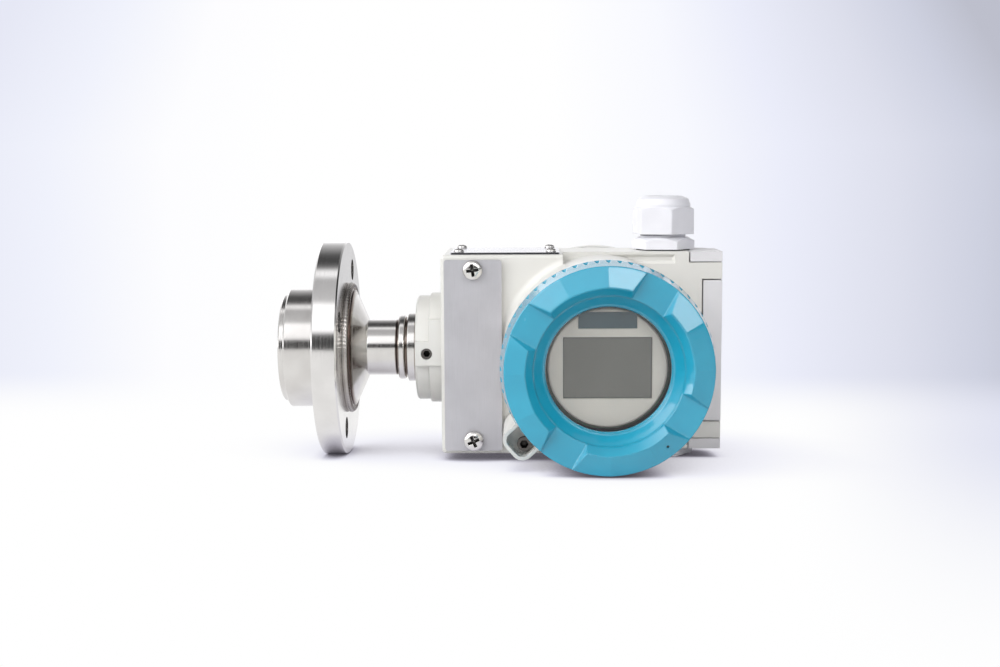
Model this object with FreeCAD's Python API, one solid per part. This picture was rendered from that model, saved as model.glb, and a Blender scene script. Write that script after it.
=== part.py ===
import FreeCAD, Part
import math
import os

from FreeCAD import Vector

# Pressure transmitter with a flush hygienic flange, lying on its side as on a tank wall.
# Millimetres. X runs along the process axis from the flange's seating face towards the key cover,
# the display looks along -Y and the cable gland points along +Z.

# Driving dimensions: process connection
flange_od = 90.0
flange_thickness = 10.0
flange_chamfer = 0.6
flange_bore_chamfer = 1.0
bolt_circle = 70.0
bolt_hole = 9.0
bolt_count = 4
bolt_turn = 23.5
spigot_d = 50.0
spigot_length = 17.0
spigot_step = 0.6
lip_d = 45.0
lip_length = 2.5
lip_chamfer = 0.6
lip_taper = 0.4
diaphragm_d = 40.0
diaphragm_thickness = 0.4
diaphragm_land = 2.0
ripple_depth = 0.25
ripple_pitch = 2.4
fill_depth = 0.5
weld_leg = 2.3
weld_round = 0.6
shoulder_d = 49.0
shoulder_length = 2.8
cone_length = 5.8
cone_round = 0.5
neck_d = 23.4
neck_length = 12.6
neck_relief = 0.7
neck_relief_slope = 0.35
neck_bead_d = 27.0
neck_bead_width = 3.4
neck_bead_round = 1.2
neck_groove_width = 0.8
neck_ring_d = 28.8
neck_ring_width = 3.6
neck_ring_round = 0.4
journal_d = 24.0
journal_tail = 1.6
o_ring_groove_inset = 8.4
o_ring_groove_depth = 1.5
o_ring_groove_width = 2.6
clip_width = 1.2
clip_bite = 1.0
clip_band = 3.2
clip_mouth = 5.0
capillary_d = 2.0
cell_d = 15.0
cell_length = 12.0
cell_stand = 1.0
pin_circle = 9.0
pin_d = 0.8
pin_length = 4.0
pin_count = 6

# Driving dimensions: housing casting
collar_d = 44.0
collar_step_d = 46.4
collar_step_length = 5.5
collar_length = 11.2
collar_round = 1.2
collar_step_round = 0.5
pad_width = 9.8
pad_rise = 0.4
collar_boss_length = 5.2
collar_boss_top = 14.0
set_screw_d = 4.6
set_screw_inset = 5.0
set_screw_sink = 0.9
set_screw_socket = 2.5
set_screw_socket_depth = 2.3
block_length = 49.5
block_depth = 55.0
block_height = 81.2
tag_pad_rise = 1.6
tag_pad_width = 21.4
barrel_offset = 65.1
barrel_d = 79.8
barrel_front = 64.0
barrel_rear = 44.0
barrel_edge = 0.8
bore_d = 67.0
thread_wall = 2.5
thread_length = 9.5
partition_front = 16.0
partition_wall = 5.0
sensor_pocket_wall = 6.5
sensor_pocket_d = 34.0
sensor_pocket_depth = 13.0
duct_d = 8.0
head_depth = 30.0
head_height = 82.0
head_length = 65.6
entry_offset = 27.1
entry_depth = 27.0
mark_recess_height = 3.7
mark_recess_reach = 3.6
mark_recess_lip = 1.2
mark_recess_depth = 1.1
casting_round = 1.6
barrel_fillet = 3.0
lug_angle = 221.6
lug_reach = 4.0
lug_root = 3.0
lug_width = 13.4
lug_drop = 5.7
lug_corner = 4.5
lug_wall = 1.4
lug_pocket_depth = 7.0
lug_inset = 1.5
lock_offset = 1.9
lock_head_d = 5.4
lock_head_h = 3.0
lock_shank_d = 3.6
lock_shank_length = 8.0
lock_socket = 3.0
lock_socket_depth = 2.4

# Driving dimensions: covers and window
rim_d = 81.6
rim_gap = 0.8
rim_height = 11.9
rim_draft = 1.6
facet_inset = 0.4
window_d = 47.2
window_height = 7.0
window_chamfer = 0.6
closed_floor = 3.5
boss_tail = 1.5
glass_d = 54.0
glass_thickness = 4.0
glass_height = 5.2
glass_ring_bore = 49.0
glass_ring_width = 2.4
lobe_angle = 104.5
lobe_count = 4
facet_step = 27.0
facet_slope = 20.0
lobe_ring_d = 62.4
slot_width = 16.4
slot_floor_width = 13.2
slot_drop = 0.6
band_inner_d = 49.2
band_outer_d = 56.8
band_depth = 0.5
band_slope = 0.4
notch_count = 60
notch_r = 1.1
notch_depth = 0.8
notch_lip = 0.8
wire_hole_angle = 308.0
wire_hole_d = 1.0
wire_hole_depth = 3.0
seal_section_d = 1.8

# Driving dimensions: electronics, display and terminals
module_length = 33.0
module_gap = 0.6
board_d = 51.4
board_thickness = 1.6
bezel_d = 45.4
bezel_edge = 0.8
lcd_width = 33.5
lcd_height = 23.2
lcd_inset = 0.6
lcd_thickness = 2.0
field_width = 22.1
field_height = 6.2
field_rise = 18.1
field_inset = 0.1
field_thickness = 0.5
terminal_count = 3
terminal_pitch = 11.0
terminal_margin = 2.0
terminal_height = 16.0
terminal_depth = 15.0
terminal_screw_rise = 2.0
terminal_well_d = 6.8
terminal_well_depth = 4.0
terminal_mouth = 4.4
terminal_mouth_depth = 6.6
terminal_hole_depth = 7.5
terminal_head_h = 2.0
terminal_screw_length = 5.0
inner_earth_angle = 216.0
inner_earth_wall = 4.3
outer_earth_x = 12.0
outer_earth_z = 24.0
outer_earth_length = 8.0
earth_screw_d = 4.0
earth_head_d = 7.0
earth_head_h = 2.6
earth_plate = 9.0
earth_plate_thickness = 1.2

# Driving dimensions: plates and their screws
pan_edge_share = 0.45
pan_top_share = 0.62
plate_thickness = 0.8
plate_corner = 1.2
tag_width = 23.2
tag_height = 77.6
tag_inset = 1.5
tag_screw_rise = 34.7
tag_head_d = 8.0
tag_head_h = 2.8
tag_shank_d = 4.0
tag_shank_length = 8.0
nameplate_width = 44.6
nameplate_depth = 37.4
nameplate_inset = 3.7
nameplate_front = 3.0
nameplate_screw_inset = 3.6
nameplate_head_d = 4.2
nameplate_head_h = 1.5
nameplate_shank_d = 2.0
nameplate_shank_length = 5.0

# Driving dimensions: cable gland and plug
gland_wall = 2.1
gland_turn = -9.0
gland_corner = 1.0
gland_thread_d = 19.2
gland_shank = 12.0
gland_hex_height = 4.9
gland_tube_d = 18.8
gland_bore_d = 12.4
hex_bevel_angle = 30.0
hex_bevel_inset = 1.0
gasket_thickness = 0.5
gasket_width = 1.4
insert_d = 16.6
insert_length = 7.2
insert_lift = 2.0
insert_proud = 0.8
insert_chamfer = 1.4
cable_d = 9.5
nut_gap = 1.3
nut_turn = -20.0
nut_hex_height = 12.3
nut_bevel_inset = 1.9
nut_dome_height = 3.6
nut_dome_inset = 0.2
nut_dome_side = 2.4
nut_dome_draft = 0.9
nut_dome_round = 0.6
nut_lip = 0.9
nut_mouth_d = 13.2
nut_crown = 1.5
plug_head = 3.5

# Driving dimensions: key cover and keys
lid_thickness = 2.4
post_depth = 2.0
hinge_r = 5.5
pivot_d = 3.0
pivot_depth = 7.0
ear_length = 13.1
ear_thickness = 4.2
tab_length = 7.7
tab_height = 58.4
tab_depth = 2.6
tab_proud = 0.4
tab_swing = 1.2
key_offset = -2.0
key_pocket_width = 15.0
key_pocket_margin = 10.0
key_ledge = 1.5
key_ledge_depth = 4.5
key_floor_depth = 3.0
guide_thickness = 1.2
button_d = 8.0
button_pitch = 16.0
button_rise = 2.0
button_flange = 0.9
button_flange_thickness = 1.3
button_edge = 0.6

# Named clearances
seat_gap = 0.3
running_gap = 0.05
slip_gap = 0.2
lid_gap = 0.5
past = 1.0

# Radii and half sizes
flange_r = flange_od / 2
journal_r = journal_d / 2
barrel_r = barrel_d / 2
bore_r = bore_d / 2
thread_r = bore_r + thread_wall
rim_r = rim_d / 2
rim_edge_r = rim_r - rim_draft
lobe_ring_r = lobe_ring_d / 2
window_r = window_d / 2
block_half = block_height / 2
block_front = -block_depth / 2
head_rise = head_height / 2
head_front = -head_depth / 2

# Places along the process axis
x_shoulder = flange_thickness + shoulder_length
x_neck = x_shoulder + cone_length
x_bead = x_neck + neck_length
x_bead_end = x_bead + neck_bead_width
x_ring = x_bead_end + neck_groove_width
x_ring_end = x_ring + neck_ring_width
x_collar = x_ring_end + seat_gap
x_neck_groove = x_collar + o_ring_groove_inset
x_block = x_collar + collar_length
x_block_end = x_block + block_length
x_barrel = x_block + barrel_offset
x_entry = x_barrel + entry_offset
x_end = x_block_end + head_length
x_pocket = x_block + sensor_pocket_wall
x_clip = x_pocket + seat_gap
journal_end = x_clip + clip_width + journal_tail
x_cell = journal_end - cell_length + cell_stand
partition_rear = partition_wall - partition_front

X_AXIS = Vector(1, 0, 0)
Y_AXIS = Vector(0, 1, 0)
Z_AXIS = Vector(0, 0, 1)


def box(x, y, z):
    """Box between the (low, high) pairs x, y and z."""
    size = (x[1] - x[0], y[1] - y[0], z[1] - z[0])
    return Part.makeBox(*size, Vector(x[0], y[0], z[0]))


def rod(start, direction, radius, length):
    """Cylinder from a start point along a direction."""
    return Part.makeCylinder(radius, length, Vector(*start), direction)


def tube(start, direction, outer, inner, length):
    """Hollow cylinder from a start point along a direction."""
    return rod(start, direction, outer, length).cut(rod(start, direction, inner, length))


def outline(points, place):
    """Closed wire through (u, v) corners; a third value rounds that corner by its radius."""
    flat = [Vector(p[0], p[1], 0) for p in points]
    runs = []
    for i, p in enumerate(points):
        corner = flat[i]
        if len(p) == 2:
            runs.append((corner, None, corner))
            continue
        back = (flat[i - 1] - corner).normalize()
        ahead = (flat[(i + 1) % len(flat)] - corner).normalize()
        half = back.getAngle(ahead) / 2
        trim = p[2] / math.tan(half)
        middle = corner + (back + ahead).normalize() * (p[2] / math.sin(half) - p[2])
        runs.append((corner + back * trim, middle, corner + ahead * trim))
    edges = []
    for i, (start, middle, end) in enumerate(runs):
        if middle is not None:
            edges.append(Part.Arc(place(start), place(middle), place(end)).toShape())
        following = runs[(i + 1) % len(runs)][0]
        if (following - end).Length > 1e-6:
            edges.append(Part.LineSegment(place(end), place(following)).toShape())
    return Part.Wire(edges)


def turned_x(points):
    """Body turned about the process axis from (x, radius) corners."""
    wire = outline(points, lambda p: Vector(p.x, 0, p.y))
    return Part.Face(wire).revolve(Vector(0, 0, 0), X_AXIS, 360)


def turned_y(points):
    """Body turned about the barrel's axis from (radius, y) corners."""
    wire = outline(points, lambda p: Vector(x_barrel + p.x, p.y, 0))
    return Part.Face(wire).revolve(Vector(x_barrel, 0, 0), Y_AXIS, 360)


def turned_z(points, x, y):
    """Body turned about the upright line at x, y from (radius, z) corners."""
    wire = outline(points, lambda p: Vector(x + p.x, y, p.y))
    return Part.Face(wire).revolve(Vector(x, y, 0), Z_AXIS, 360)


def prism(points, place, direction):
    """Outline pushed along a vector."""
    return Part.Face(outline(points, place)).extrude(direction)


def hexagon(centre, flats, height, turn=0.0, rounding=()):
    """Upright hexagon prism with its corners turned by an angle and rounded by a radius, if given."""
    corner = flats / math.sqrt(3)
    angles = [math.radians(60 * k + turn) for k in range(6)]
    points = [(corner * math.cos(a), corner * math.sin(a), *rounding) for a in angles]
    base = Vector(*centre)
    return prism(points, lambda p: p + base, Vector(0, 0, height))


def socket(flats, depth, top):
    """Hexagon socket sunk along -Z from a height."""
    return hexagon((0, 0, top - depth), flats, depth)


def aimed(shape, base, direction):
    """Shape built along +Z, turned to a direction and moved to a base point."""
    turn = FreeCAD.Rotation(Z_AXIS, direction)
    return shape.transformed(FreeCAD.Placement(Vector(*base), turn).toMatrix())


def pan_screw(head_d, head_h, shank_d, shank_length):
    """Round-headed screw along +Z with its head's underside at the origin."""
    r = head_d / 2
    corners = [(0, 0), (r, 0), (r, head_h * pan_edge_share), (r * pan_top_share, head_h), (0, head_h)]
    shank = Part.makeCylinder(shank_d / 2, shank_length, Vector(0, 0, -shank_length))
    return joined([turned_z(corners, 0, 0), shank])


def joined(shapes):
    """One solid from overlapping shapes."""
    return shapes[0].fuse(shapes[1:]).removeSplitter()


def group(shapes):
    """Separate solids kept together."""
    return Part.makeCompound(shapes)


pieces = {}


# Process connection
def make_flange():
    """Flange ring with its bolt circle, bored for the seal body."""
    r = flange_r
    bore = spigot_d / 2 - spigot_step + running_gap
    ring = turned_x([
        (flange_bore_chamfer, bore), (0, bore + flange_bore_chamfer), (0, r - flange_chamfer),
        (flange_chamfer, r), (flange_thickness - flange_chamfer, r), (flange_thickness, r - flange_chamfer),
        (flange_thickness, bore),
    ])
    holes = []
    for k in range(bolt_count):
        angle = math.radians(bolt_turn + 360 / bolt_count * k)
        centre = (-past, bolt_circle / 2 * math.sin(angle), bolt_circle / 2 * math.cos(angle))
        holes.append(rod(centre, X_AXIS, bolt_hole / 2, flange_thickness + 2 * past))
    return ring.cut(holes)


def make_seal_body():
    """Turned spigot, shoulder, cone and neck in one piece, with the weld bead behind the flange."""
    spigot = spigot_d / 2
    shoulder = shoulder_d / 2
    seat = spigot - spigot_step
    lip = lip_d / 2
    neck = neck_d / 2
    bead = neck_bead_d / 2
    groove = journal_r - o_ring_groove_depth
    x_groove_end = x_neck_groove + o_ring_groove_width
    face = -spigot_length
    step = face + lip_length
    weld = flange_thickness
    toe = weld + weld_leg
    body = turned_x([
        (face, 0), (face, lip - lip_chamfer), (face + lip_chamfer, lip), (step - lip_taper, lip),
        (step, spigot - lip_chamfer), (step + lip_chamfer, spigot), (0, spigot), (0, seat), (weld, seat),
        (weld, spigot + weld_leg, weld_round), (toe, shoulder),
        (x_shoulder, shoulder, cone_round), (x_neck, neck, cone_round),
        (x_bead - neck_relief, neck), (x_bead - neck_relief_slope, neck - neck_relief),
        (x_bead, neck - neck_relief), (x_bead, bead, neck_bead_round),
        (x_bead_end, bead, neck_bead_round), (x_bead_end, neck), (x_ring, neck),
        (x_ring, neck_ring_d / 2, neck_ring_round), (x_ring_end, neck_ring_d / 2),
        (x_ring_end, journal_r), (x_neck_groove, journal_r), (x_neck_groove, groove),
        (x_groove_end, groove), (x_groove_end, journal_r),
        (x_clip, journal_r), (x_clip, journal_r - clip_bite), (x_clip + clip_width, journal_r - clip_bite),
        (x_clip + clip_width, journal_r), (journal_end, journal_r), (journal_end, 0),
    ])
    bed = rod((face, 0, 0), X_AXIS, diaphragm_d / 2 + seat_gap, diaphragm_thickness)
    cushion = rod((face, 0, 0), X_AXIS, diaphragm_d / 2 - diaphragm_land, diaphragm_thickness + fill_depth)
    channel = rod((face, 0, 0), X_AXIS, capillary_d / 2, journal_end - face)
    chamber = rod((x_cell, 0, 0), X_AXIS, cell_d / 2 + slip_gap, journal_end - x_cell)
    return body.cut([bed, cushion, channel, chamber])


def make_diaphragm():
    """Flush foil disc with two pressed ripples, carried by its rim on the spigot's face."""
    face = -spigot_length
    back = face + diaphragm_thickness
    r = diaphragm_d / 2
    rim = r - diaphragm_land
    radii = [rim - ripple_pitch * k for k in range(1, 6)]
    waves = [(ripple_depth * (k % 2), radii[k - 1]) for k in range(5, 0, -1)]
    front = [(face + w, q) for w, q in waves]
    rear = [(back + w, q) for w, q in reversed(waves)]
    land = [(face, rim), (face, r), (back, r), (back, rim)]
    return turned_x([(face, 0)] + front + land + rear + [(back, 0)])


def make_pressure_cell():
    """Sensor capsule standing in the neck's inner end, with its contact pins."""
    capsule = rod((x_cell, 0, 0), X_AXIS, cell_d / 2, cell_length)
    pins = []
    for k in range(pin_count):
        angle = 2 * math.pi * k / pin_count
        centre = (x_cell + cell_length, pin_circle / 2 * math.cos(angle), pin_circle / 2 * math.sin(angle))
        pins.append(rod(centre, X_AXIS, pin_d / 2, pin_length))
    return joined([capsule] + pins)


def make_neck_o_ring():
    """O-ring in the journal's groove, just clear of the collar's bore."""
    section = o_ring_groove_depth / 2 - running_gap
    ring_r = journal_r - o_ring_groove_depth / 2
    return Part.makeTorus(ring_r, section, Vector(x_neck_groove + o_ring_groove_width / 2, 0, 0), X_AXIS)


def make_retaining_ring():
    """Open snap ring that keeps the neck in the collar."""
    inner = journal_r - clip_bite + running_gap
    ring = tube((x_clip + running_gap, 0, 0), X_AXIS, inner + clip_band, inner, clip_width - 2 * running_gap)
    half = clip_mouth / 2
    mouth = box((x_clip - past, x_clip + clip_width + past), (-half, half), (0, inner + 2 * clip_band))
    return ring.cut(mouth)


pieces["process_flange"] = make_flange()
pieces["seal_body"] = make_seal_body()
pieces["process_diaphragm"] = make_diaphragm()
pieces["pressure_cell"] = make_pressure_cell()
pieces["neck_o_ring"] = make_neck_o_ring()
pieces["neck_retaining_ring"] = make_retaining_ring()


# Housing casting
pad_front = -collar_step_d / 2 - pad_rise
x_set_screw = x_collar + set_screw_inset
lug_turn = math.radians(lug_angle)
lug_x = x_barrel + (barrel_r + lug_reach) * math.cos(lug_turn)
lug_z = (barrel_r + lug_reach) * math.sin(lug_turn)
lock_x = lug_x - lock_offset * math.sin(lug_turn)
lock_z = lug_z + lock_offset * math.cos(lug_turn)
lug_front = lug_inset - barrel_front
lug_rear = barrel_rear - lug_inset
x_tag = x_block + tag_inset + tag_width / 2
y_tag = block_front - tag_pad_rise
x_nameplate = x_block + nameplate_inset + nameplate_width / 2
y_nameplate = block_front + nameplate_front + nameplate_depth / 2
entry_r = gland_thread_d / 2 + slip_gap
x_lid = x_end - lid_thickness
x_head_face = x_lid - seat_gap
x_pivot = x_head_face - hinge_r
y_pivot = -head_front - hinge_r
x_ear = x_end - ear_length
z_ear = head_rise - ear_thickness
x_tab = x_end - tab_length
y_tab = head_front - tab_proud
x_key_ledge = x_head_face - key_ledge_depth
x_key_floor = x_key_ledge - key_floor_depth
key_half_y = key_pocket_width / 2
key_half_z = button_pitch + key_pocket_margin
outer_earth = (x_block + outer_earth_x, -block_front, -outer_earth_z)
inner_earth_turn = math.radians(inner_earth_angle)
inner_earth_r = bore_r - earth_head_d / 2 - inner_earth_wall
inner_earth = (
    x_barrel + inner_earth_r * math.cos(inner_earth_turn), partition_rear,
    inner_earth_r * math.sin(inner_earth_turn),
)


def nameplate_screw_places():
    """Corners of the top plate where its screws stand, on the block's top face."""
    half_x = nameplate_width / 2 - nameplate_screw_inset
    half_y = nameplate_depth / 2 - nameplate_screw_inset
    sides = [(a, b) for a in (-1, 1) for b in (-1, 1)]
    return [(x_nameplate + a * half_x, y_nameplate + b * half_y, block_half) for a, b in sides]


def tag_screw_places():
    """Lower and upper screw of the front plate, on the pad in front of the block."""
    return [(x_tag, y_tag, a * tag_screw_rise) for a in (-1, 1)]


def lug_prism(grow, near, far, inward_length):
    """U-shaped bar along Y beside the barrel, open end towards it, shrunk by a wall."""
    inward = Vector(-math.cos(lug_turn), 0, -math.sin(lug_turn))
    across = Vector(math.sin(lug_turn), 0, -math.cos(lug_turn))
    centre = Vector(lug_x, near, lug_z)
    half = lug_width / 2 - grow
    drop = lug_drop - grow
    corner = lug_corner - grow
    points = [(-drop, -half, corner), (inward_length, -half), (inward_length, half), (-drop, half, corner)]
    return prism(points, lambda p: centre + inward * p.x + across * p.y, Y_AXIS * (far - near))


def make_barrel_fillet():
    """Cast fillet between the barrel and the block's front face."""
    ring = turned_y([
        (barrel_r - past, block_front + past), (barrel_r + barrel_fillet, block_front + past),
        (barrel_r + barrel_fillet, block_front), (barrel_r, block_front, barrel_fillet),
        (barrel_r, block_front - barrel_fillet), (barrel_r - past, block_front - barrel_fillet),
    ])
    side = block_half - casting_round
    return ring.common(box((x_block + casting_round, x_block_end), (-barrel_front, 0), (-side, side)))


def make_mark_recess():
    """Shallow recess with sloping walls on the head's front, just below its top edge."""
    top = head_rise - mark_recess_lip
    low = top - mark_recess_height
    right = x_entry + mark_recess_reach
    frames = []
    for grow in (past, -mark_recess_depth):
        corners = [
            (x_barrel - grow, low - grow), (right + grow, low - grow),
            (right + grow, top + grow), (x_barrel - grow, top + grow),
        ]
        frames.append(outline(corners, lambda p: Vector(p.x, head_front - grow, p.y)))
    return Part.makeLoft(frames, True, True)


def make_outer_casting():
    """Outside of the casting before it is bored: barrel, block, head, collar, pads and lugs."""
    barrel = turned_y([
        (0, -barrel_front), (barrel_r, -barrel_front, barrel_edge), (barrel_r, barrel_rear, barrel_edge),
        (0, barrel_rear),
    ])
    front_thread = rod((x_barrel, -barrel_front - thread_length, 0), Y_AXIS, thread_r, thread_length + past)
    rear_thread = rod((x_barrel, barrel_rear - past, 0), Y_AXIS, thread_r, thread_length + past)
    block = box((x_block, x_block_end), (block_front, -block_front), (-block_half, block_half))
    rounded = [e for e in block.Edges if e.CenterOfMass.x < x_block_end - past]
    block = block.makeFillet(casting_round, rounded)
    head = box((x_block_end, x_end), (head_front, -head_front), (-head_rise, head_rise))
    head = head.cut(make_mark_recess())
    x_step = x_block - collar_step_length
    collar = turned_x([
        (x_collar, 0), (x_collar, collar_d / 2, collar_round), (x_step, collar_d / 2),
        (x_step, collar_step_d / 2, collar_step_round),
        (x_block + past, collar_step_d / 2), (x_block + past, 0),
    ])
    pad = box((x_collar + seat_gap, x_block + past), (pad_front, 0), (-pad_width / 2, pad_width / 2))
    boss = box((x_block - collar_boss_length, x_block + past), (pad_front, 0), (0, collar_boss_top))
    tag_z = tag_height / 2 - plate_corner
    tag_x = (x_block + tag_inset, x_block + tag_inset + tag_pad_width)
    tag_pad = box(tag_x, (y_tag, block_front + past), (-tag_z, tag_z))
    inward = lug_reach + lug_root
    lug = lug_prism(0, block_front + past, lug_front, inward)
    rear_lug = lug_prism(0, -block_front - past, lug_rear, inward)
    fillet = make_barrel_fillet()
    solid = joined([
        barrel, front_thread, rear_thread, block, head, collar, pad, boss, tag_pad, fillet, lug, rear_lug,
    ])
    pocket = lug_prism(lug_wall, lug_front + lug_pocket_depth, lug_front - past, lug_reach + past)
    rear_pocket = lug_prism(lug_wall, lug_rear - lug_pocket_depth, lug_rear + past, lug_reach + past)
    return solid.cut([pocket, rear_pocket])


def housing_hollows():
    """Chambers, entries and passages bored into the casting."""
    front_y = -barrel_front - thread_length - past
    rear_y = barrel_rear + thread_length + past
    front = rod((x_barrel, front_y, 0), Y_AXIS, bore_r, -partition_front - front_y)
    rear = rod((x_barrel, partition_rear, 0), Y_AXIS, bore_r, rear_y - partition_rear)
    collar_depth = x_pocket - x_collar + 2 * past
    collar_bore = rod((x_collar - past, 0, 0), X_AXIS, journal_r + running_gap, collar_depth)
    pocket = rod((x_pocket, 0, 0), X_AXIS, sensor_pocket_d / 2, sensor_pocket_depth)
    duct_start = Vector(x_pocket + sensor_pocket_depth - duct_d / 2, 0, 0)
    duct_end = Vector(x_barrel - bore_r + duct_d, -partition_front - duct_d, 0)
    duct = Part.makeCylinder(duct_d / 2, (duct_end - duct_start).Length, duct_start, duct_end - duct_start)
    entries = []
    for side in (-1, 1):
        mouth = (x_entry, 0, side * (head_rise + past))
        entries.append(rod(mouth, Z_AXIS * -side, entry_r, entry_depth + past))
    set_screw = rod((x_set_screw, pad_front - past, 0), Y_AXIS, set_screw_d / 2, -pad_front + past)
    return [front, rear, collar_bore, pocket, duct, set_screw] + entries


def housing_screw_holes():
    """Blind holes for the plate, lock and earth screws."""
    holes = []
    for x, y, z in tag_screw_places():
        holes.append(rod((x, y - past, z), Y_AXIS, tag_shank_d / 2 + slip_gap, tag_shank_length + past))
    small_r = nameplate_shank_d / 2 + slip_gap
    for x, y, z in nameplate_screw_places():
        holes.append(rod((x, y, z + past), Z_AXIS * -1, small_r, nameplate_shank_length + past))
    lock_r = lock_shank_d / 2 + slip_gap
    lock_reach = lug_pocket_depth + lock_shank_length + past
    holes.append(rod((lock_x, lug_front, lock_z), Y_AXIS, lock_r, lock_reach))
    holes.append(rod((lock_x, lug_rear, lock_z), Y_AXIS * -1, lock_r, lock_reach))
    earth_r = earth_screw_d / 2 + slip_gap
    holes.append(rod(outer_earth, Y_AXIS * -1, earth_r, outer_earth_length + past))
    holes.append(rod(inner_earth, Y_AXIS * -1, earth_r, partition_wall - past))
    return holes


def key_end_cuts():
    """Seats for the key cover's ears, tab and plate, the rounded hinge corner and the key pocket."""
    far = x_end + past
    deep = -head_front + past
    tall = head_rise + past
    cuts = []
    for side in (-1, 1):
        ear_z = sorted((side * (z_ear - seat_gap), side * tall))
        cuts.append(box((x_ear - lid_gap, far), (-deep, deep), ear_z))
        hinge = (x_pivot, y_pivot, side * z_ear)
        cuts.append(rod(hinge, Z_AXIS * -side, pivot_d / 2 + slip_gap, pivot_depth + past))
    tab_z = tab_height / 2 + lid_gap
    cuts.append(box((x_tab - lid_gap, far), (-deep, y_tab + tab_depth + tab_swing), (-tab_z, tab_z)))
    cuts.append(box((x_head_face, far), (head_front + post_depth, deep), (-tall, tall)))
    corner = box((x_pivot, far), (y_pivot, deep), (-tall, tall))
    cuts.append(corner.cut(rod((x_pivot, y_pivot, -tall), Z_AXIS, hinge_r, 2 * tall)))
    for x, inset in ((x_key_ledge, 0), (x_key_floor, key_ledge)):
        half_y = key_half_y - inset
        half_z = key_half_z - inset
        cuts.append(box((x, far), (key_offset - half_y, key_offset + half_y), (-half_z, half_z)))
    return cuts


def make_housing():
    """Die-cast housing in one piece."""
    casting = make_outer_casting()
    casting = casting.cut(housing_hollows())
    casting = casting.cut(housing_screw_holes())
    casting = casting.cut(key_end_cuts())
    return casting.removeSplitter()


def make_set_screw():
    """Grub screw in the collar's pad, its tip just off the neck."""
    length = -pad_front - set_screw_sink - journal_r - seat_gap
    screw = Part.makeCylinder(set_screw_d / 2 - slip_gap / 2, length, Vector(0, 0, -length))
    screw = screw.cut(socket(set_screw_socket, set_screw_socket_depth, 0))
    return aimed(screw, (x_set_screw, pad_front + set_screw_sink, 0), Y_AXIS * -1)


def make_lock_screw(y_floor, outward):
    """Socket screw standing in a lug's pocket."""
    head = Part.makeCylinder(lock_head_d / 2, lock_head_h)
    shank = Part.makeCylinder(lock_shank_d / 2, lock_shank_length, Vector(0, 0, -lock_shank_length))
    screw = joined([head, shank]).cut(socket(lock_socket, lock_socket_depth, lock_head_h))
    return aimed(screw, (lock_x, y_floor, lock_z), outward)


pieces["housing"] = make_housing()
pieces["swivel_set_screw"] = make_set_screw()
pieces["front_cover_lock_screw"] = make_lock_screw(lug_front + lug_pocket_depth, Y_AXIS * -1)
pieces["rear_cover_lock_screw"] = make_lock_screw(lug_rear - lug_pocket_depth, Y_AXIS)


# Plates on the block
def rounded_rectangle(width, height):
    """Corner list of a plate with its small corner radius."""
    a = width / 2
    b = height / 2
    return [(-a, -b, plate_corner), (a, -b, plate_corner), (a, b, plate_corner), (-a, b, plate_corner)]


def make_tag_plate():
    """Thin plate on the pad in front of the block, with two screw holes."""
    points = rounded_rectangle(tag_width, tag_height)
    plate = prism(points, lambda p: Vector(x_tag + p.x, y_tag, p.y), Y_AXIS * -plate_thickness)
    hole_r = tag_shank_d / 2 + slip_gap
    reach = plate_thickness + 2 * past
    holes = [rod((x, y + past, z), Y_AXIS * -1, hole_r, reach) for x, y, z in tag_screw_places()]
    return plate.cut(holes)


def make_nameplate():
    """Thin plate on the block's top face with four screw holes."""
    points = rounded_rectangle(nameplate_width, nameplate_depth)
    centre = Vector(x_nameplate, y_nameplate, block_half)
    plate = prism(points, lambda p: p + centre, Z_AXIS * plate_thickness)
    hole_r = nameplate_shank_d / 2 + slip_gap
    reach = plate_thickness + 2 * past
    holes = [rod((x, y, z - past), Z_AXIS, hole_r, reach) for x, y, z in nameplate_screw_places()]
    return plate.cut(holes)


def make_tag_screws():
    """Two round-headed screws on the front plate."""
    screw = pan_screw(tag_head_d, tag_head_h, tag_shank_d, tag_shank_length)
    return group([aimed(screw, (x, y - plate_thickness, z), Y_AXIS * -1) for x, y, z in tag_screw_places()])


def make_nameplate_screws():
    """Four small round-headed screws on the top plate."""
    screw = pan_screw(nameplate_head_d, nameplate_head_h, nameplate_shank_d, nameplate_shank_length)
    lift = Vector(0, 0, plate_thickness)
    return group([screw.translated(Vector(*place) + lift) for place in nameplate_screw_places()])


pieces["tag_plate"] = make_tag_plate()
pieces["tag_plate_screws"] = make_tag_screws()
pieces["nameplate"] = make_nameplate()
pieces["nameplate_screws"] = make_nameplate_screws()


# Screw-on covers; heights h run outwards from the barrel's shoulder
h_rim = rim_gap + rim_height
facet_r = rim_edge_r - facet_inset
h_peak = h_rim + (facet_r - lobe_ring_r) * math.tan(math.radians(facet_slope))
h_slot = h_rim - slot_drop
h_thread = thread_length + seat_gap
boss_r = bore_r - 2 * seat_gap
skirt_r = thread_r + seat_gap
seal_half = seal_section_d / 2
seal_r = (skirt_r + rim_r) / 2
seal_depth = seal_section_d - seat_gap


def dish_height(r):
    """Height of the dished face at a radius, rising from the window's edge to the lobes."""
    return window_height + (r - window_r) / (lobe_ring_r - window_r) * (h_peak - window_height)


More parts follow.
